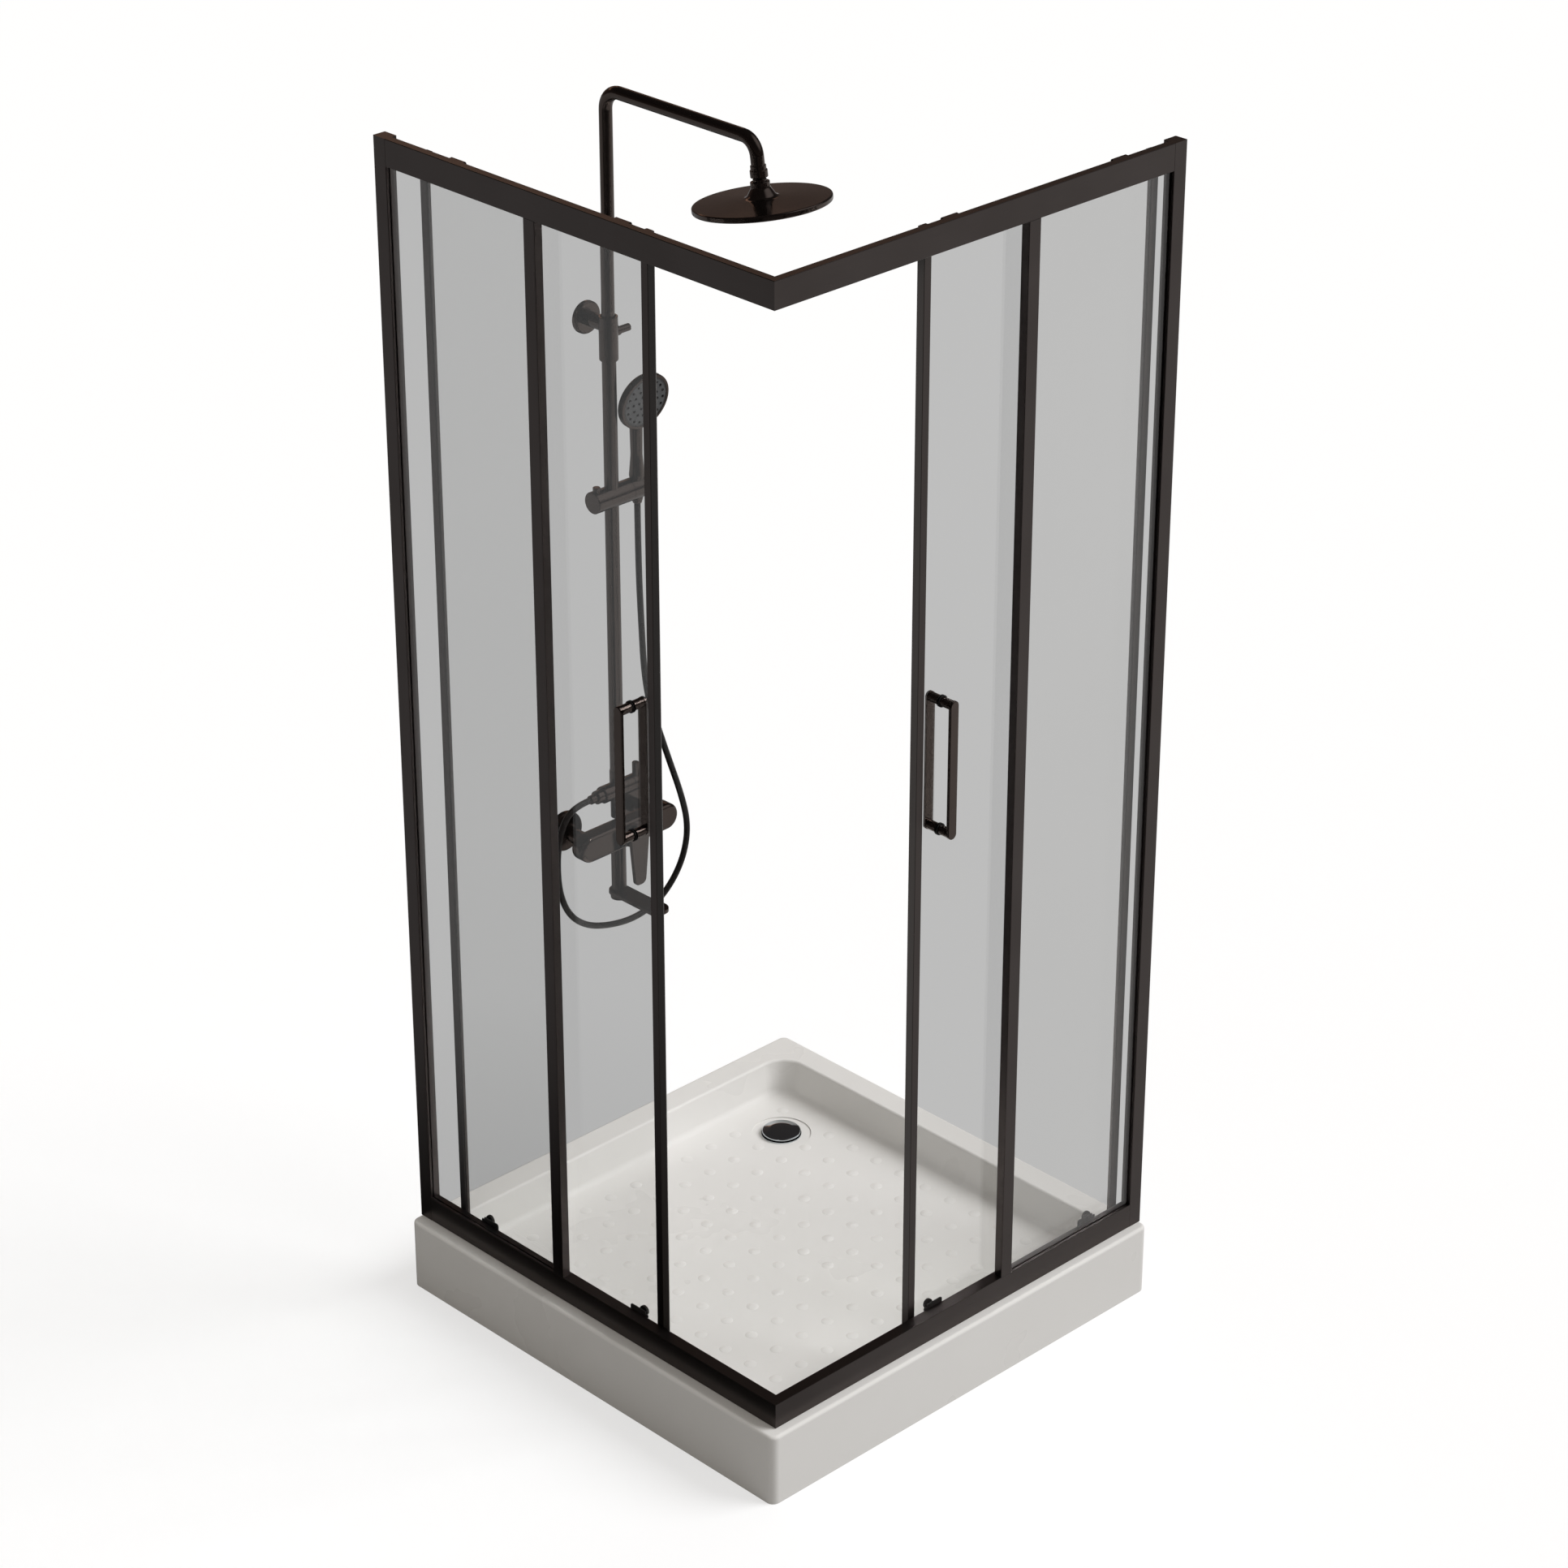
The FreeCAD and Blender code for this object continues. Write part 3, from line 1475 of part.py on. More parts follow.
def lever_hub():
    """Turning ring on the mixer's front, with the slot that the lever's neck rises in."""
    base = Vec(mixer_front, 0, mixer_height)
    pairs = [(0, 0), (hub_ring_radius, 0), (hub_ring_radius, hub_ring_thickness), (0, hub_ring_thickness)]
    ring = turned(pairs, [0, 0, hub_ring_edge, 0], base, ALONG_X)
    radius = lever_neck_radius + running_gap
    low = base - ALONG_X * overrun
    reach = ALONG_X * (hub_ring_thickness + 2 * overrun)
    slot = rod(radius, low, low + reach)
    slot = slot.fuse(rod(radius, low + UP * lever_slot_rise, low + UP * lever_slot_rise + reach))
    slot = slot.fuse(block(low - ALONG_Y * radius, low + reach + Vec(0, radius, lever_slot_rise)))
    return ring.cut(slot)


def mixer_lever():
    """Tapered paddle that hangs in front of the mixer, on a neck through the ring."""
    back = mixer_front + lever_neck_end
    top = mixer_height + lever_top_radius
    bottom = mixer_height - lever_drop
    wide = lever_top_radius
    narrow = lever_tip_half_width
    pairs = [
        (-wide, top),
        (-wide, mixer_height),
        (-narrow, bottom),
        (narrow, bottom),
        (wide, mixer_height),
        (wide, top),
    ]
    radii = [wide, 0, lever_tip_radius, lever_tip_radius, 0, wide]
    paddle = prism(upright(pairs, back), radii, ALONG_X * lever_thickness)
    face = back + lever_thickness
    paddle = softened(paddle, lever_edge_radius, lambda edge: edge.BoundBox.XMin > face - slip)
    start = Vec(mixer_front + lever_neck_start, 0, mixer_height)
    neck = rod(lever_neck_radius, start, Vec(back + slip, 0, mixer_height))
    return joined([paddle, neck])


def spout_slab(inset, low, thickness):
    """Long plate with round ends about the spout's axis and its tip."""
    wide = spout_half_width - inset
    back = column.x - wide
    tip = column.x + spout_reach - inset
    pairs = [(back, -wide), (tip, -wide), (tip, wide), (back, wide)]
    return prism(flat(pairs, low), wide, UP * thickness)


def spout():
    """Flat spout that turns under the mixer's tube: stem, plate, narrower body below, boss and mouth."""
    plate_low = spout_top - spout_plate_thickness
    low = plate_low - spout_body_thickness
    plate = spout_slab(0, plate_low, spout_plate_thickness)
    plate = softened(plate, spout_edge_radius, lambda edge: at_level(edge, spout_top))
    body = spout_slab(spout_inset, low, spout_body_thickness + slip)
    stem = rod(drop_tube_radius, column + UP * low, column + UP * (drop_tube_bottom - spout_stem_gap))
    boss = rod(spout_boss_radius, column + UP * (low - spout_boss_height), column + UP * spout_top)
    end = column.x + spout_reach - spout_inset - spout_mouth_from_tip
    half = spout_mouth_width / 2
    start = end - spout_mouth_length
    pairs = [(start, -half), (end, -half), (end, half), (start, half)]
    mouth = prism(flat(pairs, low - overrun), spout_mouth_radius, UP * (overrun + spout_mouth_depth))
    return joined([plate, body, stem, boss]).cut(mouth)


def hose_points():
    """Corners of the hose's line, from the ferrule's face to the handset nut's."""
    start = Vec(column.x, -(diverter_left + outlet_nut_length + ferrule_length), diverter_height)
    end = Vec(column.x, handset_offset, slider_height - hose_nut_drop)
    loop = [Vec(column.x, across, diverter_height + height) for across, height in hose_loop]
    way_up = end.z - diverter_height
    heights = [diverter_height + share * way_up for share in hose_rise_shares]
    rise = [Vec(column.x, across, height) for across, height in zip(hose_rise_across, heights)]
    return [start] + loop + rise + [end]


def shower_hose():
    """Free hose: straight runs joined by arcs as large as the runs allow."""
    points = hose_points()
    runs = [(after - before).Length for before, after in zip(points, points[1:])]
    radii = []
    for index in range(1, len(points) - 1):
        back = points[index - 1] - points[index]
        ahead = points[index + 1] - points[index]
        half_turn = (math.pi - back.getAngle(ahead)) / 2
        radii.append(arc_share * min(runs[index - 1], runs[index]) / math.tan(half_turn))
    path = smooth_path(points, radii)
    solid = tube_along(path, hose_radius, points[0], points[1] - points[0])
    expected = math.pi * hose_radius ** 2 * path.Length
    print("hose radii", [round(radius) for radius in radii])
    print("hose length", round(path.Length), "volume ratio", round(solid.Volume / expected, 4))
    return solid


def screen_pieces(name, place, length, stile, lead):
    """All pieces of one screen and its door, set in place."""
    pieces = {
        "post": post(length),
        "top_rail": top_rail(length, stile),
        "bottom_rail": bottom_rail(length, stile),
        "fixed_glass": fixed_glass(length, stile),
        "fixed_stile": fixed_stile(stile),
        "door_glass": door_glass(lead),
        "leading_stile": door_stile(lead, 1, door_top),
        "trailing_stile": door_stile(lead + door_width, -1, door_top - trailing_stile_drop),
        "magnetic_seal": magnetic_seal(lead),
        "roller_carriages": roller_carriages(lead),
        "lower_guides": lower_guides(lead),
        "outer_handle": handle(lead, door_glass_setback, -1, glass_thickness),
        "inner_handle": handle(lead, door_glass_back, 1, 0),
    }
    for number, middle in enumerate(wheel_places(lead), 1):
        pieces["wheel_" + str(number)] = roller_wheel(middle)
    return {name + "_" + node: place(piece) for node, piece in pieces.items()}


def all_pieces():
    """Every node of the enclosure by name."""
    front = ("front", on_front, front_length, front_stile_from_corner, front_door_from_corner)
    side = ("side", on_side, side_length, side_stile_from_corner, side_door_from_corner)
    channels = [on_front(wall_channel(front_length)), on_side(wall_channel(side_length))]
    caps = [on_front(post_cap(front_length)), on_side(post_cap(side_length))]
    pieces = {
        "shower_tray": shower_tray(),
        "tray_feet": tray_feet(),
        "waste_trap": waste_trap(),
        "waste_flange": waste_flange(),
        "drain_cover": drain_cover(),
        "corner_joints": corner_joints(),
        "wall_channels": Part.makeCompound(channels),
        "post_caps": Part.makeCompound(caps),
        "column_bracket": column_bracket(),
        "lower_riser": lower_riser(),
        "arm_seal": arm_seal(),
        "riser_arm": riser_arm(),
        "ball_nut": ball_nut(),
        "rain_head": rain_head(),
        "lock_knob": lock_knob(),
        "slider": slider(),
        "slider_button": slider_button(),
        "handset_cradle": handset_cradle(),
        "handset_nut": handset_nut(),
        "handset": handset(),
        "handset_face": handset_face(),
        "shower_hose": shower_hose(),
        "diverter": diverter(),
        "diverter_knob": diverter_knob(),
        "outlet_nut": outlet_nut(),
        "mixer_body": mixer_body(),
        "mixer_unions": mixer_unions(),
        "lever_hub": lever_hub(),
        "mixer_lever": mixer_lever(),
        "spout": spout(),
    }
    pieces.update(screen_pieces(*front))
    pieces.update(screen_pieces(*side))
    return pieces


os.makedirs("parts", exist_ok=True)
for node, shape in all_pieces().items():
    shape.exportStep("parts/" + node + ".step")
    print(node, len(shape.Solids), round(shape.Volume), shape.isValid())
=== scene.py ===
# %% [markdown]
# # A corner shower enclosure
# The packed model gives every rigid piece its true shape and place. This script dresses it. It
# gives each piece a finish, adds the soft hose and the fine parts that are too small for the solid
# model, and sets up a small studio. All lengths are in metres.

# %% Load the packed model
import math
import bpy
import numpy as np
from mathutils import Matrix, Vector


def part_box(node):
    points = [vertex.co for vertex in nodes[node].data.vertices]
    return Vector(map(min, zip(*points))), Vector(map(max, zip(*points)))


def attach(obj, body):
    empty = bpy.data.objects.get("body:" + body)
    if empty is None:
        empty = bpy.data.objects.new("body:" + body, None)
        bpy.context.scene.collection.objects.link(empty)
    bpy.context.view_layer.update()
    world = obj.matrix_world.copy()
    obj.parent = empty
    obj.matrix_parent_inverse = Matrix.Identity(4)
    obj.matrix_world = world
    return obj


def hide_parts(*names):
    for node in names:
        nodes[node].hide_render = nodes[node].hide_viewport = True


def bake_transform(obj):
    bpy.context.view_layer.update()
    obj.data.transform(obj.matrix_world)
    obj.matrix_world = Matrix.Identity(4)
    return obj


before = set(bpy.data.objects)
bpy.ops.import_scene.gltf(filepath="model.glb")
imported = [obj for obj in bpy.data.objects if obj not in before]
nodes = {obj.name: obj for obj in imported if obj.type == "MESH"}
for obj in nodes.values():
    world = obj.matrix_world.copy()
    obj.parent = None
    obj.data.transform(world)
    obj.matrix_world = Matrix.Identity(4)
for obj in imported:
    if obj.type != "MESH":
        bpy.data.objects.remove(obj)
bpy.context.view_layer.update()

# %% [markdown]
# ## The camera
# The picture was taken from above the outer corner with a long lens, so the uprights lean together
# only a little. A camera could be turned by hand until it fits, but it is easier to place from
# what it looks at: a target, two angles and a distance.

# %% Camera
TARGET = Vector((0.0081, 0.0044, 0.9831))
AZIMUTH, ELEVATION = math.radians(45.80), math.radians(27.20)
DISTANCE, FAR_CLIP = 7.1352, 100
LENS_MM, SENSOR_MM = 100.08, 36
away = Vector((
    math.sin(AZIMUTH) * math.cos(ELEVATION),
    -math.cos(AZIMUTH) * math.cos(ELEVATION),
    math.sin(ELEVATION),
))
camera = bpy.data.objects.new("camera", bpy.data.cameras.new("camera"))
camera.location = TARGET + away * DISTANCE
camera.rotation_euler = (-away).to_track_quat("-Z", "Y").to_euler()
camera.data.lens = LENS_MM
camera.data.sensor_width = SENSOR_MM
camera.data.clip_end = FAR_CLIP
bpy.context.collection.objects.link(camera)
bpy.context.scene.camera = camera
print("camera at", [round(v, 3) for v in camera.location])

# %% [markdown]
# ## Surfaces from whole arrays
# Nearly every small part of a shower is a stack of rings: a washer, a nozzle, a hose. Such a part
# could be modelled face by face, but a profile of numbers is shorter and easier to change. One
# helper turns rings, an array of (copies, rows, columns, 3), into a closed mesh. The rings run
# counter-clockwise seen from the last one, so that the faces point outwards.

# %% Helper: rings to mesh
def ring_piece(name, rings, body):
    """Quads join each ring to the next one, column by column.

    A flat face closes the first and the last ring of each copy.
    """
    copies, rows, columns, _ = rings.shape
    index = np.arange(rows * columns).reshape(rows, columns)
    beside = np.roll(index, -1, axis=1)
    quads = np.stack([index[:-1], beside[:-1], beside[1:], index[1:]], axis=-1).reshape(-1, 4)
    caps = np.stack([index[0, ::-1], index[-1]])
    shift = np.arange(copies)[:, None, None] * rows * columns
    faces = (quads + shift).reshape(-1, 4).tolist() + (caps + shift).reshape(-1, columns).tolist()
    mesh = bpy.data.meshes.new(name)
    mesh.from_pydata(rings.reshape(-1, 3), [], faces)
    mesh.polygons.foreach_set("use_smooth", np.ones(len(faces), bool))
    mesh.validate()
    piece = bpy.data.objects.new(name, mesh)
    bpy.context.collection.objects.link(piece)
    if body:
        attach(piece, body)
    print(name, len(faces), "faces")
    return piece


# %% Helpers: turned rings, and copies of them
def turned_rings(profile, columns):
    """Points (r cos a, r sin a, h) for each radius r and height h of the profile.

    The angle a goes once round the axis in equal steps.
    """
    radius, height = np.array(profile, float).T
    angle = np.linspace(0, 2 * math.pi, columns, endpoint=False)
    return np.stack([
        radius[:, None] * np.cos(angle),
        radius[:, None] * np.sin(angle),
        np.broadcast_to(height[:, None], (len(radius), columns)),
    ], axis=-1)


NEARLY_Y = 0.9


def set_at(rings, places, axis):
    """Copies of the rings at each place, with their height turned along the axis.

    A point is place + x * side + y * across + z * axis, where side and across complete the axis
    to a square frame. Side is square to Y as well, or to X where the axis is nearly Y itself.
    """
    axis = np.array(axis, float) / np.linalg.norm(axis)
    side = np.cross((0, 1, 0) if abs(axis[1]) < NEARLY_Y else (1, 0, 0), axis)
    side /= np.linalg.norm(side)
    turn = np.stack([side, np.cross(axis, side), axis])
    return np.array(places, float)[:, None, None, :] + (rings @ turn)[None]


print("one turned ring of 8 points:", turned_rings([(1.0, 0.0)], columns=8).shape)

# %% [markdown]
# ## The shower hose
# The hose is one smooth line from the diverter, down into a loose loop and up to the hand shower.
# It could be drawn as arcs and straight runs, but that looks like bent wire. A NURBS curve of
# order 3 rounds the corners between its control points by itself, as a springy hose does, so the
# route only needs the places that the hose passes near.

# %% Hose route
COLUMN_X = -0.393
# The route lies in the column's upright plane: these are Y and Z of its control points, from the
# nut on the diverter to the nut on the hand shower.
hose_route = np.array([
    (-0.0630, 0.8290), (-0.0910, 0.8290), (-0.1180, 0.8150), (-0.1340, 0.7820),
    (-0.1400, 0.7350), (-0.1370, 0.6780), (-0.1170, 0.6270), (-0.0780, 0.5910),
    (-0.0240, 0.5710), (0.0340, 0.5630), (0.0860, 0.5740), (0.1260, 0.6060),
    (0.1515, 0.6480), (0.1605, 0.7000), (0.1465, 0.7620), (0.1130, 0.8548),
    (0.0805, 0.9503), (0.0665, 1.0225), (0.0620, 1.1102), (0.0570, 1.2299),
    (0.0570, 1.3450),
])
count = len(hose_route)
controls = np.column_stack([np.full(count, COLUMN_X), hose_route, np.ones(count)])
line = bpy.data.curves.new("hose_line", "CURVE")
line.dimensions = "3D"
spline = line.splines.new("NURBS")
spline.points.add(count - 1)
spline.points.foreach_set("co", controls.ravel())
spline.order_u = 3
spline.use_endpoint_u = True
spline.resolution_u = 14
print("hose route with", count, "control points")

# %% Hose line
SAME_PLACE = 1e-6
guide = bpy.data.objects.new("hose_line", line)
bpy.context.collection.objects.link(guide)
traced = bpy.data.meshes.new_from_object(guide)
path = np.empty(len(traced.vertices) * 3)
traced.vertices.foreach_get("co", path)
path = path.reshape(-1, 3)
bpy.data.objects.remove(guide)
moves_on = np.linalg.norm(np.diff(path, axis=0), axis=1) > SAME_PLACE
path = path[np.concatenate([[True], moves_on])]
along = np.concatenate([[0], np.cumsum(np.linalg.norm(np.diff(path, axis=0), axis=1))])
print("hose line", len(path), "points,", round(along[-1], 4), "m")

# %% [markdown]
# ## The hose's tube
# A curve can have thickness of its own, but only a mesh can bend with the slider when it moves.
# So the tube is a ring carried along the curve, and each ring remembers how far along it stands.

# %% Hose tube
HOSE_RADIUS, HOSE_COLUMNS = 0.0055, 20


def hose_rings(path):
    """Rings square to the path: point + r (cos a * sideways + sin a * across).

    The path lies in an upright plane, so sideways is X everywhere and across is the tangent
    turned in that plane.
    """
    tangent = np.gradient(path, axis=0)
    tangent /= np.linalg.norm(tangent, axis=1, keepdims=True)
    sideways = np.array([1.0, 0.0, 0.0])
    across = np.cross(tangent, sideways)
    angle = np.linspace(0, 2 * math.pi, HOSE_COLUMNS, endpoint=False)[None, :, None]
    ring = np.cos(angle) * sideways + np.sin(angle) * across[:, None]
    return path[:, None] + HOSE_RADIUS * ring


path[:, 0] = COLUMN_X
hose = ring_piece("hose", hose_rings(path)[None], None)
attribute = hose.data.attributes.new("along", "FLOAT", "POINT")
attribute.data.foreach_set("value", np.repeat(along, HOSE_COLUMNS).astype(np.float32))
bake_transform(hose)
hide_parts("shower_hose")

# %% [markdown]
# ## Anti-slip dimples
# The basin floor is moulded with a square pattern of low round bumps, only about a millimetre
# high. A bump in the material could stand for them, but would look flat from the side. So they are
# real shapes set on the floor of the solid tray: one soft profile, turned, and copied to every
# place that the waste leaves free.

# %% Dimples
DIMPLE_PITCH, DIMPLE_ROWS, DIMPLE_RADIUS = 0.060, 12, 0.0105
BASIN_FLOOR, WASTE_MARGIN = 0.071, 0.065
offsets = (np.arange(DIMPLE_ROWS) - (DIMPLE_ROWS - 1) / 2) * DIMPLE_PITCH
across, up = np.meshgrid(offsets, offsets)
places = np.column_stack([across.ravel(), up.ravel(), np.full(across.size, BASIN_FLOOR)])
waste_low, waste_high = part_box("waste_flange")
waste = (np.array(waste_low) + np.array(waste_high))[:2] / 2
places = places[np.linalg.norm(places[:, :2] - waste, axis=1) > WASTE_MARGIN]
# Each pair is a share of the radius and a height. The lowest ring is sunk into the acrylic.
dimple = np.array([
    (1.04, -0.0003), (1.0, 0.00003), (0.85, 0.00027),
    (0.62, 0.0007), (0.36, 0.00103), (0.12, 0.00113),
]) * (DIMPLE_RADIUS, 1)
rings = turned_rings(dimple, columns=18)
ring_piece("tray_dimples", set_at(rings, places, (0, 0, 1)), "frame")

# %% [markdown]
# ## Washers at the handles
# Where a handle's post meets the glass there is a thin black gasket, so that metal never touches
# glass. It could be a torus, but a turned profile has the flat faces of a real washer. Its place
# comes from the handle's own box: the post stands half the handle's width in from each end.

# %% Handle gaskets
HANDLE_WIDTH = 0.0175
gasket_profile = [(0.0082, 0), (0.0100, 0), (0.0102, 0.0004), (0.0100, 0.0010), (0.0082, 0.0012)]
gasket = turned_rings(gasket_profile, columns=32)
for side, depth_axis in (("front", 1), ("side", 0)):
    pane_low, pane_high = (np.array(v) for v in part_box(side + "_door_glass"))
    copies = []
    for face in ("outer", "inner"):
        low, high = (np.array(v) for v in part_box(side + "_" + face + "_handle"))
        # The outer faces look towards -Y on the front and towards +X on the side.
        outward = np.zeros(3)
        outward[depth_axis] = 1 if (face == "outer") == (side == "side") else -1
        middle = (low + high) / 2
        middle[depth_axis] = (pane_high if outward[depth_axis] > 0 else pane_low)[depth_axis]
        for height in (low[2] + HANDLE_WIDTH / 2, high[2] - HANDLE_WIDTH / 2):
            copies.append(set_at(gasket, [(middle[0], middle[1], height)], outward))
    ring_piece(side + "_handle_gaskets", np.concatenate(copies), side + "_door")

# %% [markdown]
# ## Nozzles of the rain head
# The underside of the rain head is full of small rubber nozzles in rings, six more in each ring
# than in the one inside it. They could be placed one by one, but the count of each ring gives
# every place at once. The arm's end leans, so they are laid out on the head's own plane.

# %% Helper: nozzle places
def nozzle_places(middle, facing, rings, pitch):
    """The middle, and 6 n places round it in ring n at n times the pitch.

    They lie on the plane square to facing.
    """
    across = np.array([0.0, 1.0, 0.0])
    upward = np.cross(facing, across)
    numbers = np.arange(1, rings + 1)
    ring = np.repeat(numbers, 6 * numbers)
    turn = 2 * math.pi * np.concatenate([np.arange(6 * n) / (6 * n) for n in numbers])
    spots = np.cos(turn)[:, None] * across + np.sin(turn)[:, None] * upward
    return np.vstack([[middle], middle + pitch * ring[:, None] * spots])


# %% Rain head nozzles
ARM_END, ARM_LEAN = (-0.04403, 0, 2.029), math.radians(9)
HEAD_DEPTH, HEAD_RINGS, HEAD_PITCH = 0.0604, 7, 0.0138
down = np.array([math.sin(ARM_LEAN), 0, -math.cos(ARM_LEAN)])
underside = np.array(ARM_END) + down * HEAD_DEPTH
nozzle_profile = [(0.0021, -0.0003), (0.0019, 0.0008), (0.0012, 0.0016), (0.0005, 0.0016)]
nozzle = turned_rings(nozzle_profile, columns=10)
places = nozzle_places(underside, down, HEAD_RINGS, HEAD_PITCH)
ring_piece("head_nozzles", set_at(nozzle, places, down), "overhead_rose")

# %% [markdown]
# ## Nozzle tips of the hand shower
# The hand shower's face has fewer nozzles. The solid model already has their stubs, so each only
# gets a dark rubber tip, a little rounder than the stub so that it hides the stub's edge.

# %% Hand shower tips
FACE_MIDDLE, FACE_DIP = (-0.370, 0.057, 1.5305), math.radians(11)
FACE_INSET, FACE_RINGS, FACE_PITCH = 0.0008, 3, 0.0123
outward = np.array([math.cos(FACE_DIP), 0, -math.sin(FACE_DIP)])
tip_profile = [(0.0021, 0.0001), (0.0022, 0.0009), (0.0017, 0.0015), (0.0006, 0.0015)]
tip = turned_rings(tip_profile, columns=12)
plate_middle = np.array(FACE_MIDDLE) - outward * FACE_INSET
places = nozzle_places(plate_middle, outward, FACE_RINGS, FACE_PITCH)
ring_piece("face_nozzles", set_at(tip, places, outward), "hand_shower")

# %% [markdown]
# ## Writing shader maths as plain expressions
# A material is a small program. Wiring nodes one by one hides what it computes, so this class
# wraps the output of a node: adding or multiplying two of them adds the matching Math node. Its
# `node` method adds every other kind.

# %% Helper: a node's output
class Out:
    """One output of a node in a tree. Arithmetic on it adds Math nodes to that tree."""

    def __init__(self, tree, socket=None):
        self.tree = tree
        self.socket = socket

    def node(self, kind, settings=None, inputs=None, output=0):
        """Adds a node: its settings are set first, then the values or links of its sockets."""
        made = self.tree.nodes.new("ShaderNode" + kind)
        stops = (settings or {}).pop("stops", None)
        for key, value in (settings or {}).items():
            setattr(made, key, value)
        if stops:
            elements = made.color_ramp.elements
            while len(elements) < len(stops):
                elements.new(1.0)
            for element, (place, colour) in zip(elements, stops):
                element.position = place
                element.color = (*colour, 1)
        for key, value in (inputs or {}).items():
            if isinstance(value, Out):
                self.tree.links.new(value.socket, made.inputs[key])
            else:
                made.inputs[key].default_value = value
        return Out(self.tree, made.outputs[output] if len(made.outputs) else None)

    def math(self, operation, first, second=0.0):
        """A Math node on two numbers, each an output or a plain value."""
        return self.node("Math", {"operation": operation}, {0: first, 1: second})

    def __add__(self, other):
        return self.math("ADD", self, other)

    def __sub__(self, other):
        return self.math("SUBTRACT", self, other)

    def __rsub__(self, other):
        return self.math("SUBTRACT", other, self)

    def __mul__(self, other):
        return self.math("MULTIPLY", self, other)

    def __gt__(self, other):
        return self.math("GREATER_THAN", self, other)

    __radd__ = __add__
    __rmul__ = __mul__


print("Out:", Out.__doc__)

# %% [markdown]
# ## What every finish needs
# Real surfaces are never one even colour, so each finish below starts from noise on the piece's
# own coordinates, which stays on the piece when it moves. A ramp turns the noise into two near
# tones, and the same noise drives the gloss and a slight bump.

# %% Helpers: an empty finish and its noise
def new_finish(name):
    """An empty material, and the Out that its nodes start from."""
    material = bpy.data.materials.new(name)
    material.use_nodes = True
    material.node_tree.nodes.clear()
    return material, Out(material.node_tree)


def noise(start, scale, detail=2.0, stretch=(1, 1, 1)):
    """Noise between 0 and 1 on the piece's own coordinates, times the stretch, in metres."""
    place = start.node("TexCoord", output="Object")
    place = start.node("Mapping", {}, {"Vector": place, "Scale": stretch})
    return start.node("TexNoise", {}, {"Vector": place, "Scale": scale, "Detail": detail})


print("a noise of scale 5 has patches of about", 1 / 5, "m")

# %% Helpers: tones, bumps, vectors and rays
TONE_LOW, TONE_HIGH = 0.3, 0.7


def colours(start, factor, *stops):
    """A colour ramp between (place, colour) stops."""
    return start.node("ValToRGB", {"stops": stops}, {"Fac": factor})


def two_tone(start, factor, first, second):
    """The first tone up to TONE_LOW, the second from TONE_HIGH on, and a blend between them."""
    return colours(start, factor, (TONE_LOW, first), (TONE_HIGH, second))


def bump(start, height, strength, distance):
    """A normal that leans as if the height, times the distance, stood on the surface."""
    return start.node("Bump", {}, {"Height": height, "Strength": strength, "Distance": distance})


def vectors(start, operation, first, second):
    """A Vector Math node. A dot product and a distance come out as one number."""
    output = 1 if operation in ("DOT_PRODUCT", "DISTANCE") else 0
    return start.node("VectorMath", {"operation": operation}, {0: first, 1: second}, output)


def after_bounce(start, bounce):
    """1 for a ray with such a bounce behind it: its depth, a count of them, is more than a half."""
    return start.node("LightPath", output=bounce) > 0.5


print("two tones blend from", TONE_LOW, "to", TONE_HIGH, "of the noise")

# %% Helpers: the shader, and its way onto the pieces
def surface(start, inputs):
    """The Principled shader of a finish, wired to its output."""
    shader = start.node("BsdfPrincipled", {}, inputs)
    start.node("OutputMaterial", {}, {"Surface": shader})


def dress(material, *names):
    """Gives the material to pieces or nodes by name."""
    for name in names:
        mesh = (nodes.get(name) or bpy.data.objects[name]).data
        mesh.materials.clear()
        mesh.materials.append(material)
    print(material.name, "on", len(names), "pieces")


print("pieces to dress:", len(nodes) - 1, "nodes beside the hose's, and the new ones")

# %% [markdown]
# ## Tray acrylic
# The tray is sanitary acrylic: warm white, smooth and a little glossy. One flat colour would look
# like plaster. Up close such a sheet is never quite even, so slow noise moves its colour by a hair
# and its gloss a bit more, and a shallow, wide bump bends the reflections as drawn sheet does.

# %% Acrylic
ACRYLIC_TONES = (0.765, 0.753, 0.727), (0.782, 0.771, 0.746)
acrylic, start = new_finish("tray_acrylic")
slow = noise(start, scale=5.0, detail=3.0)
wavy = noise(start, scale=12.0, detail=1.0)
surface(start, {
    "Base Color": two_tone(start, slow, *ACRYLIC_TONES),
    "Roughness": 0.25 + 0.06 * slow,
    "Normal": bump(start, wavy, strength=0.05, distance=0.0005),
    "IOR": 1.49,
    "Specular IOR Level": 0.35,
})
dress(acrylic, "shower_tray", "tray_dimples")

# %% [markdown]
# ## Clear glass
# Safety glass is a dielectric with a refractive index of about 1.5. Real panes let lamps through,
# but a path tracer would cast a dark shadow behind them, so shadow rays meet a plain transparent
# surface. Faint smears live in the roughness alone.

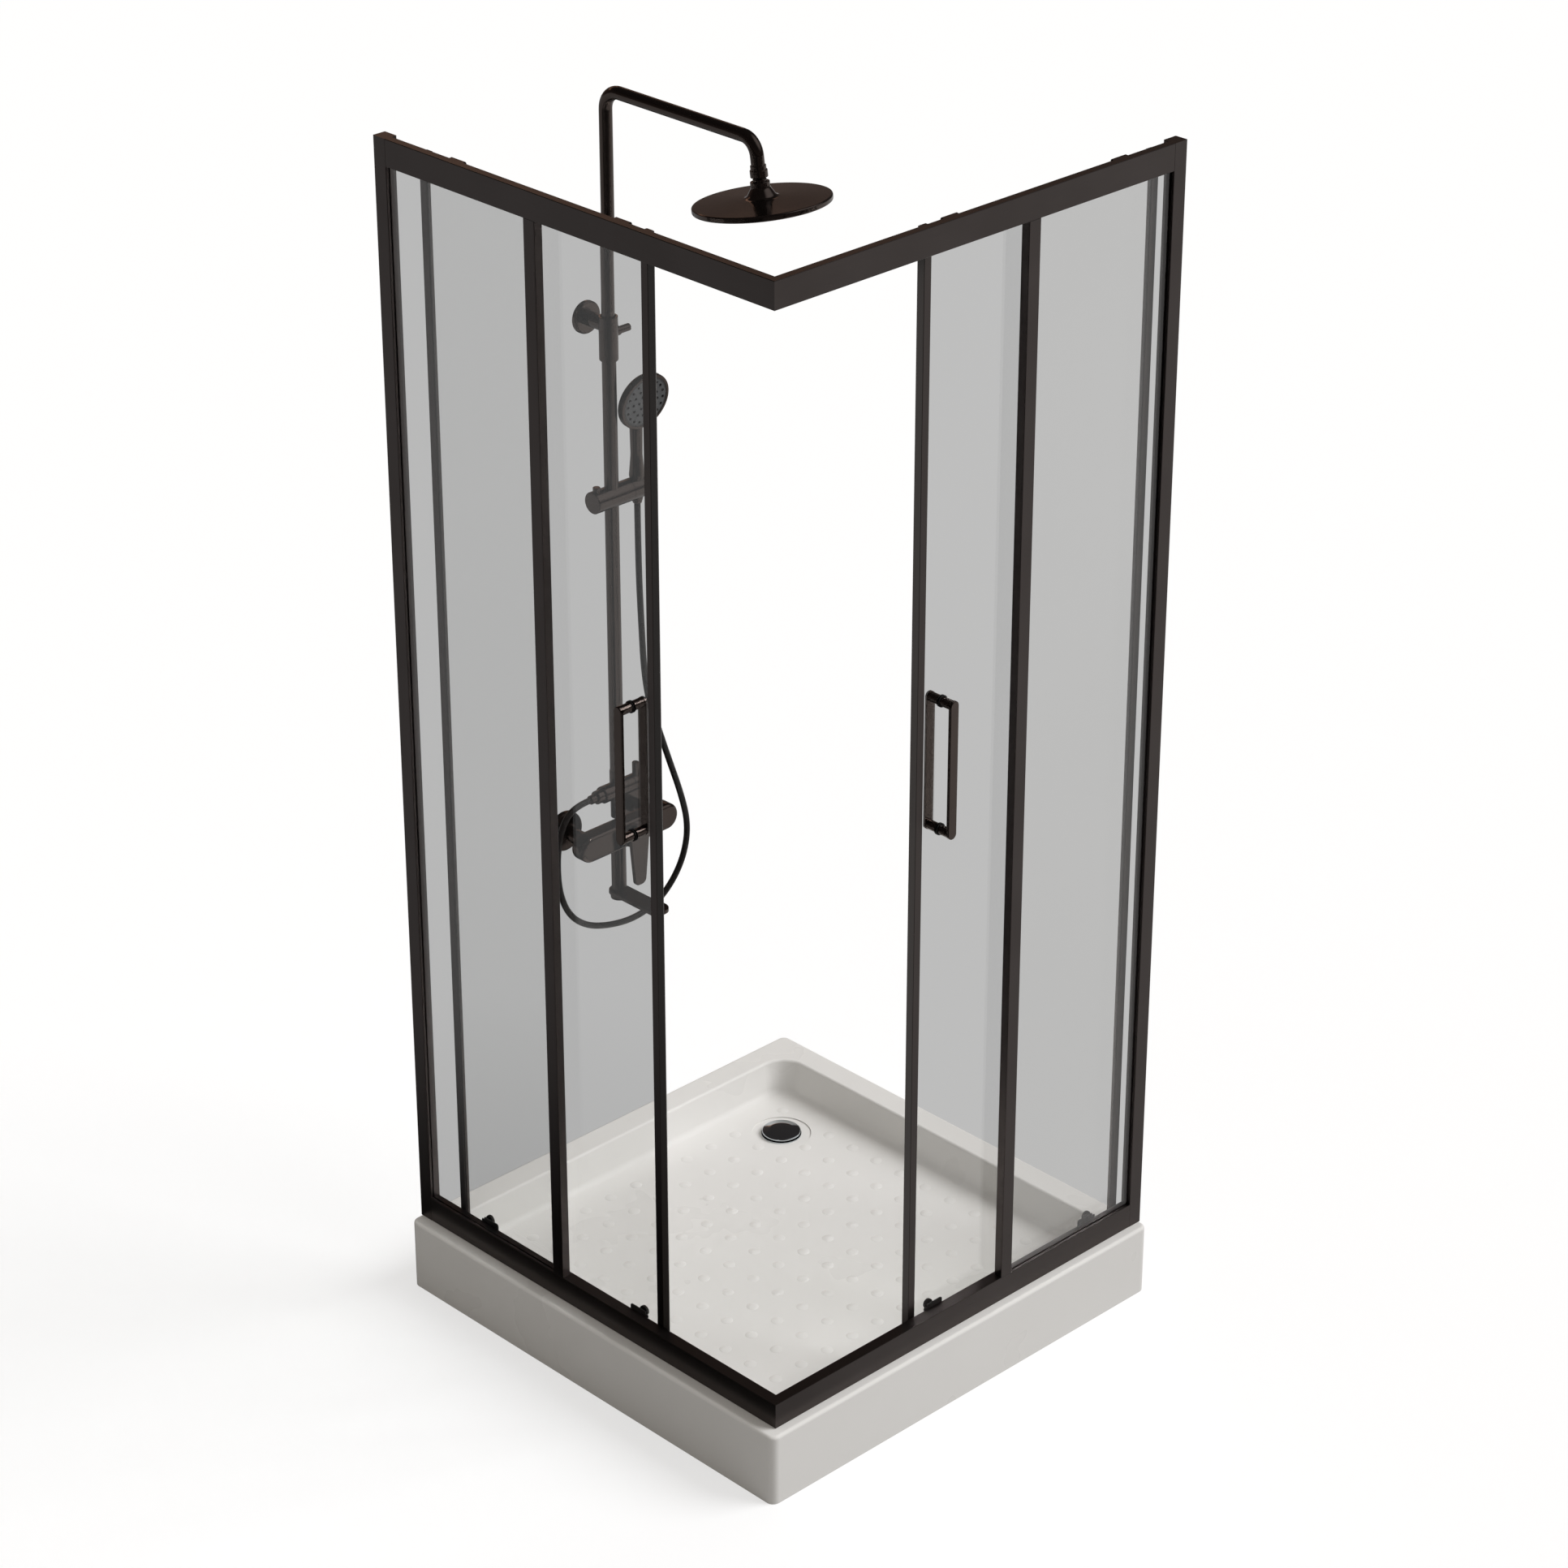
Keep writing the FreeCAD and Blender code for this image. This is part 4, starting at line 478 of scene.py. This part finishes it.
# %% Glass
SIDES = ("front", "side")
GLASS_TONES = (0.968, 0.969, 0.966), (0.975, 0.976, 0.973)
SHADE_OF_GLASS = (0.91, 0.912, 0.908, 1)
glass, start = new_finish("clear_glass")
smears = noise(start, scale=3.0, detail=5.0, stretch=(1, 1, 0.35))
pane = start.node("BsdfPrincipled", {}, {
    "Base Color": two_tone(start, noise(start, scale=2.0), *GLASS_TONES),
    "Roughness": 0.003 * smears * smears,
    "Transmission Weight": 1.0,
    "IOR": 1.5,
})
clear = start.node("BsdfTransparent", {}, {"Color": SHADE_OF_GLASS})
shadow_ray = start.node("LightPath", output="Is Shadow Ray")
either = start.node("MixShader", {}, {0: shadow_ray, 1: pane, 2: clear})
start.node("OutputMaterial", {}, {"Surface": either})
dress(glass, *[side + "_" + leaf + "_glass" for side in SIDES for leaf in ("door", "fixed")])

# %% [markdown]
# ## Dark frame profiles
# The rails, posts and stiles are aluminium extrusions with a satin dark bronze anodising: nearly
# black, with the surroundings mirrored faintly in it. Black paint would lose that warm mirror.
# Extrusions carry faint draw lines along their length, so the noise is stretched along the
# profile, and each direction of profile gets its own finish.

# %% Anodised profiles
BRONZE_TONES = (0.072, 0.061, 0.058), (0.082, 0.070, 0.067)
UPRIGHTS = ("post", "fixed_stile", "leading_stile", "trailing_stile")


def anodised(name, stretch):
    """Dark bronze anodising with its draw lines along the axis where the stretch is small."""
    material, start = new_finish(name)
    drawn = noise(start, scale=60.0, detail=3.0, stretch=stretch)
    surface(start, {
        "Base Color": two_tone(start, noise(start, scale=7.0), *BRONZE_TONES),
        "Metallic": 0.95,
        "Roughness": 0.24 + 0.12 * drawn,
        "Normal": bump(start, drawn, strength=0.05, distance=0.0003),
        "Specular IOR Level": 0.3,
    })
    return material


dress(anodised("bronze_upright", (9, 9, 0.25)), "wall_channels", "post_caps",
      *[side + "_" + part for side in SIDES for part in UPRIGHTS])
for side, stretch, name in (("front", (0.25, 9, 9), "bronze_along_x"),
                            ("side", (9, 0.25, 9), "bronze_along_y")):
    dress(anodised(name, stretch),
          *[side + "_" + part for part in ("top_rail", "bottom_rail", "roller_carriages")])

# %% [markdown]
# ## Dark fittings
# The taps, the column, the handles and the heads are brass with a dark bronze plating: smoother
# than the profiles, so it mirrors the lamp in thin warm lines. A coat over a dark paint could do
# it, but a metal this dark gives the deeper mirror of real plating, and slow noise in its
# roughness lets the highlight swell and fade.

# %% Dark plating
PLATING_TONES = (0.082, 0.065, 0.058), (0.094, 0.075, 0.067)
plating, start = new_finish("dark_plating")
surface(start, {
    "Base Color": two_tone(start, noise(start, scale=14.0, detail=3.0), *PLATING_TONES),
    "Metallic": 0.97,
    "Roughness": 0.10 + 0.07 * noise(start, scale=45.0, detail=4.0),
    "Normal": bump(start, noise(start, scale=700.0), strength=0.02, distance=0.0001),
    "Specular IOR Level": 0.3,
})
dress(plating, "column_bracket", "lower_riser", "riser_arm", "ball_nut", "rain_head", "lock_knob",
      "slider", "slider_button", "handset_cradle", "handset_nut", "handset", "diverter",
      "diverter_knob", "outlet_nut", "mixer_body", "mixer_unions", "lever_hub", "mixer_lever",
      "spout", *[side + "_" + face + "_handle" for side in SIDES for face in ("outer", "inner")])

# %% [markdown]
# ## Chrome at the drain
# The waste cover is polished chrome. A perfect mirror would look like liquid, and feet and
# cleaning cloths leave very fine random scratches, which only show as a slight change of gloss.

# %% Chrome
CHROME_TONES = (0.54, 0.58, 0.61), (0.58, 0.62, 0.65)
chrome, start = new_finish("polished_chrome")
scratches = noise(start, scale=260.0, detail=6.0, stretch=(1, 0.15, 1))
surface(start, {
    "Base Color": two_tone(start, noise(start, scale=30.0), *CHROME_TONES),
    "Metallic": 1.0,
    "Roughness": 0.04 + 0.05 * scratches,
    "Normal": bump(start, scratches, strength=0.03, distance=0.0001),
})
dress(chrome, "waste_flange", "drain_cover")

# %% [markdown]
# ## Black plastic
# The wheels, guides, feet and trap are black nylon, moulded with a faint grain. The grain could be
# modelled, but it is under a millimetre wide, so a bump and a change of gloss are enough.

# %% Plastic
PLASTIC_TONES = (0.016, 0.0145, 0.0138), (0.022, 0.020, 0.019)
plastic, start = new_finish("dark_plastic")
grain = noise(start, scale=1500.0)
surface(start, {
    "Base Color": two_tone(start, noise(start, scale=40.0), *PLASTIC_TONES),
    "Roughness": 0.42 + 0.12 * grain,
    "Normal": bump(start, grain, strength=0.15, distance=0.0002),
    "Specular IOR Level": 0.35,
})
dress(plastic, "tray_feet", "waste_trap",
      *[side + "_" + part for side in SIDES for part in ("lower_guides", "wheel_1", "wheel_2")])

# %% [markdown]
# ## Black rubber
# The gaskets, the arm's seal and the nozzles are soft black rubber, which grows a faint grey bloom
# with age. It could be a second shader laid over the first, but a second tone is enough. That tone
# is full later in the noise than those of other finishes, so that it stays in patches.

# %% Rubber
RUBBER_DARK, RUBBER_BLOOM, BLOOM_FULL = (0.008, 0.0075, 0.0072), (0.014, 0.013, 0.0125), 0.8
rubber, start = new_finish("black_rubber")
bloom = noise(start, scale=120.0, detail=4.0)
surface(start, {
    "Base Color": colours(start, bloom, (TONE_LOW, RUBBER_DARK), (BLOOM_FULL, RUBBER_BLOOM)),
    "Roughness": 0.48 + 0.18 * bloom,
    "Normal": bump(start, bloom, strength=0.10, distance=0.0001),
    "Specular IOR Level": 0.2,
})
dress(rubber, "arm_seal", "front_handle_gaskets", "side_handle_gaskets", "head_nozzles",
      "face_nozzles")

# %% [markdown]
# ## Magnetic strips
# The doors close on strips of dark brown vinyl with a magnet inside. Vinyl is extruded as the
# profiles are, so its noise is stretched upwards too, but it is softer and duller than metal.

# %% Magnetic strip
STRIP_TONES = (0.028, 0.0235, 0.0215), (0.036, 0.0305, 0.0280)
magnet, start = new_finish("magnet_strip")
drawn = noise(start, scale=50.0, stretch=(8, 8, 0.2))
surface(start, {
    "Base Color": two_tone(start, drawn, *STRIP_TONES),
    "Roughness": 0.36 + 0.14 * drawn,
    "Normal": bump(start, drawn, strength=0.08, distance=0.0003),
    "Specular IOR Level": 0.35,
})
dress(magnet, *[side + "_magnetic_seal" for side in SIDES])

# %% [markdown]
# ## Bare aluminium
# The corner blocks are hidden inside the rails, so nobody anodises them: they are aluminium as it
# leaves the die, light grey with plain draw lines.

# %% Aluminium
ALUMINIUM_TONES = (0.52, 0.53, 0.54), (0.60, 0.61, 0.62)
aluminium, start = new_finish("bare_aluminium")
drawn = noise(start, scale=80.0, detail=3.0, stretch=(6, 6, 0.3))
surface(start, {
    "Base Color": two_tone(start, drawn, *ALUMINIUM_TONES),
    "Metallic": 1.0,
    "Roughness": 0.30 + 0.15 * drawn,
    "Normal": bump(start, drawn, strength=0.10, distance=0.0003),
})
dress(aluminium, "corner_joints")

# %% [markdown]
# ## The hose's skin
# A shower hose is a smooth dark plastic skin over a metal spiral, which shows through as fine
# rings. Rings drawn on the piece's coordinates would slant where it bends. The distance along the
# hose is stored on its points, so a sine of it draws them square to the hose everywhere. The sine
# also colours the valleys darker than the tops, which is painted shade.

# %% Hose finish
RING_PITCH = 0.0032
# The valley colour is darker than the top colour: painted shade in the valleys of the rings.
SHADED_RING_VALLEY, RING_TOP = (0.008, 0.0072, 0.0068), (0.016, 0.0138, 0.0128)
skin, start = new_finish("hose_skin")
distance = start.node("Attribute", {"attribute_name": "along"}, output="Fac")
rib = start.math("SINE", distance * (2 * math.pi / RING_PITCH))
surface(start, {
    "Base Color": colours(start, 0.5 + 0.5 * rib, (0.0, SHADED_RING_VALLEY), (1.0, RING_TOP)),
    "Roughness": 0.24 + 0.10 * noise(start, scale=60.0),
    "Normal": bump(start, rib, strength=0.20, distance=0.0003),
    "Specular IOR Level": 0.3,
})
dress(skin, "hose")

# %% [markdown]
# ## The hand shower's face
# The face plate is slate grey plastic, lighter than the shell round it, with a darker band along
# its edge. The band could be a piece of its own, but the plate is one moulding. So the distance
# from the face's middle tells the shader where the band is.

# %% Face plate
BAND_RADIUS = 0.0412
PLATE_GREY, BAND_GREY = (0.090, 0.093, 0.095), (0.045, 0.044, 0.044)
face_finish, start = new_finish("face_plate")
place = start.node("TexCoord", output="Object")
band = vectors(start, "DISTANCE", place, FACE_MIDDLE) > BAND_RADIUS
surface(start, {
    "Base Color": colours(start, band, (0.0, PLATE_GREY), (1.0, BAND_GREY)),
    "Roughness": 0.34 + 0.12 * noise(start, scale=200.0) - 0.12 * band,
    "Normal": bump(start, noise(start, scale=900.0), strength=0.08, distance=0.0002),
    "Specular IOR Level": 0.35,
})
dress(face_finish, "handset_face")

# %% [markdown]
# ## The floor
# The floor has two jobs. It catches the soft shadow and bounces a little light, and it is the
# white background of the picture. A white floor alone would need far too much light, so its
# shader adds a glow that only the camera sees, just enough to reach white outside the shadow.

# %% Floor plane
FLOOR_HALF = 20
corners = [(x * FLOOR_HALF, y * FLOOR_HALF, 0) for x, y in ((-1, -1), (1, -1), (1, 1), (-1, 1))]
floor_mesh = bpy.data.meshes.new("floor")
floor_mesh.from_pydata(corners, [], [(0, 1, 2, 3)])
floor = bpy.data.objects.new("floor", floor_mesh)
bpy.context.collection.objects.link(floor)
print("floor", 2 * FLOOR_HALF, "m square")

# %% [markdown]
# ## The floor that mirrors see
# Mirrored rays see a floor that is bright on the lamp's side, black close to the shaded side and
# half bright far out. That makes the right-hand profiles lighter than the left-hand ones and the
# lower rail black. It also fades far out in front, because the arm is darker than the column
# below it. Painted panels could do this, but a ramp across the floor needs no more pieces.

# %% Mirrored floor
TOWARD_LAMP, LAMP_SPAN = (0.70, 0.71, 0), 4.0
IN_FRONT, FADE_START, FADE_END, FADED = (0.71, -0.70, 0), 2.4, 3.4, 0.1


def grey(level):
    """An even grey for a colour ramp."""
    return (level, level, level)


MIRRORED_FLOOR = (
    (0.0, grey(0.36)), (0.30, grey(0.30)), (0.40, grey(0.0)), (0.47, grey(0.0)),
    (0.56, (0.52, 0.51, 0.50)), (1.0, (0.62, 0.61, 0.60)),
)
floor_finish, start = new_finish("floor")
place = start.node("TexCoord", output="Object")
share = start.node("MapRange", {}, {
    "Value": vectors(start, "DOT_PRODUCT", place, TOWARD_LAMP),
    "From Min": -LAMP_SPAN, "From Max": LAMP_SPAN,
})
fade = start.node("MapRange", {}, {
    "Value": vectors(start, "DOT_PRODUCT", place, IN_FRONT),
    "From Min": FADE_START, "From Max": FADE_END, "To Min": 1.0, "To Max": FADED,
})
seen = vectors(start, "MULTIPLY", colours(start, share, *MIRRORED_FLOOR), fade)
image = start.node("Emission", {}, {"Color": seen, "Strength": 1.0})
print("mirrored floor ramp of", len(MIRRORED_FLOOR), "stops")

# %% [markdown]
# ## What each ray sees of the floor
# The floor's shader is a chain of choices, one for each kind of ray. It starts matt. The camera
# sees the glow on top of it, a mirrored ray sees the ramp, and a ray that comes straight through
# glass sees a plain light grey. Ray depths tell a mirrored ray apart even after it has passed a
# pane.

# %% Floor finish
FLOOR_GREY, FLOOR_GLOW, BEHIND_GLASS = 0.45, 0.588, 0.52
camera_ray = start.node("LightPath", output="Is Camera Ray")
mirrored = after_bounce(start, "Glossy Depth")
through = start.node("LightPath", output="Is Transmission Ray") * (1.0 - mirrored)
matt = start.node("BsdfDiffuse", {}, {"Color": (*grey(FLOOR_GREY), 1)})
glow = start.node("Emission", {}, {"Color": (1, 1, 1, 1), "Strength": FLOOR_GLOW})
lit = start.node("AddShader", {}, {0: matt, 1: glow})
behind = start.node("Emission", {}, {"Color": (*grey(BEHIND_GLASS), 1), "Strength": 1.0})
shader = matt
for factor, other in ((camera_ray, lit), (mirrored, image), (through, behind)):
    shader = start.node("MixShader", {}, {0: factor, 1: shader, 2: other})
start.node("OutputMaterial", {}, {"Surface": shader})
floor_finish.cycles.emission_sampling = "NONE"
floor.data.materials.append(floor_finish)
print("floor finish with", len(floor_finish.node_tree.nodes), "nodes")

# %% [markdown]
# ## The world
# The world fills the scene evenly with slightly warm light, and the camera sees it white. Mirrored
# rays see a studio instead: a dark ceiling, a warm lit wall behind on the left, which is what
# colours the tops of the rails, and a soft box in the lamp's place that gives calm highlights. A
# studio could be built from panels, but colours that go by the direction of the ray cast no
# shadows. Cycles would also send shadow rays to the world and the glowing floor, and those can't
# tell a mirrored ray from another, so both are left to the bounced rays alone.

# %% The studio that mirrors see
LAMP_DIRECTION, WALL_DIRECTION = (0.490, 0.530, 0.692), (-0.966, 0.259, 0.0)
CEILING = (0.0, (0.085, 0.068, 0.062)), (0.45, (0.036, 0.032, 0.031))
WARM_WALL = (0.76, grey(0.0)), (0.87, (0.95, 0.55, 0.37))
WALL_BAND = (
    (0.08, grey(0.04)), (0.27, grey(0.06)), (0.32, grey(1.0)), (0.37, grey(1.0)),
    (0.43, grey(0.04)),
)
BOX_EDGE, BOX_CORE, BOX_LEVEL = 0.80, 0.96, 0.6
world = bpy.data.worlds.new("studio")
world.use_nodes = True
world.node_tree.nodes.clear()
start = Out(world.node_tree)
direction = start.node("TexCoord", output="Generated")
up = start.node("SeparateXYZ", {}, {0: direction}, output="Z")
wall = colours(start, vectors(start, "DOT_PRODUCT", direction, WALL_DIRECTION), *WARM_WALL)
lit_wall = vectors(start, "MULTIPLY", wall, colours(start, up, *WALL_BAND))
box = start.node("MapRange", {}, {
    "Value": vectors(start, "DOT_PRODUCT", direction, LAMP_DIRECTION),
    "From Min": BOX_EDGE, "From Max": BOX_CORE, "To Max": BOX_LEVEL,
})
studio = vectors(start, "ADD", colours(start, up, *CEILING), lit_wall)
studio = vectors(start, "ADD", studio, box)
print("studio with", len(world.node_tree.nodes), "nodes")

# %% World
SOFT_SKY = (0.0, (0.290, 0.276, 0.260)), (1.0, (0.490, 0.467, 0.440))
seen = (*grey(BEHIND_GLASS), 1)
views = (
    (after_bounce(start, "Glossy Depth"), studio),
    (after_bounce(start, "Diffuse Depth"), colours(start, up, *SOFT_SKY)),
    (start.node("LightPath", output="Is Camera Ray"), (1, 1, 1, 1)),
)
# A Mix node's sockets 6 and 7 are its two colours, and its output 2 is their mix.
for factor, colour in views:
    seen = start.node("Mix", {"data_type": "RGBA"}, {0: factor, 6: seen, 7: colour}, output=2)
background = start.node("Background", {}, {"Color": seen, "Strength": 1.0})
start.node("OutputWorld", {}, {"Surface": background})
bpy.context.scene.world = world
world.cycles.sampling_method = "NONE"
print("world with", len(world.node_tree.nodes), "nodes")

# %% [markdown]
# ## The lamp
# One large soft lamp stands far off to the right, high and a little behind the object, so that the
# right-hand skirt is bright and the left one lies in half shade. An area lamp would fall off with
# the distance, so it is a sun with a wide disc, whose edge softens the shadow. Mirrors see the
# soft box in the world instead of it.

# %% Lamp
LAMP_WIDTH, LAMP_STRENGTH, LAMP_COLOUR = math.radians(36), 2.3, (0.995, 1.0, 1.02)
lamp = bpy.data.objects.new("key", bpy.data.lights.new("key", "SUN"))
lamp.data.angle = LAMP_WIDTH
lamp.data.energy = LAMP_STRENGTH
lamp.data.color = LAMP_COLOUR
lamp.rotation_euler = Vector(LAMP_DIRECTION).to_track_quat("Z", "Y").to_euler()
lamp.visible_glossy = False
bpy.context.collection.objects.link(lamp)
bpy.context.scene.view_settings.view_transform = "Standard"
print("lamp strength", lamp.data.energy)

# %% [markdown]
# ## Finish
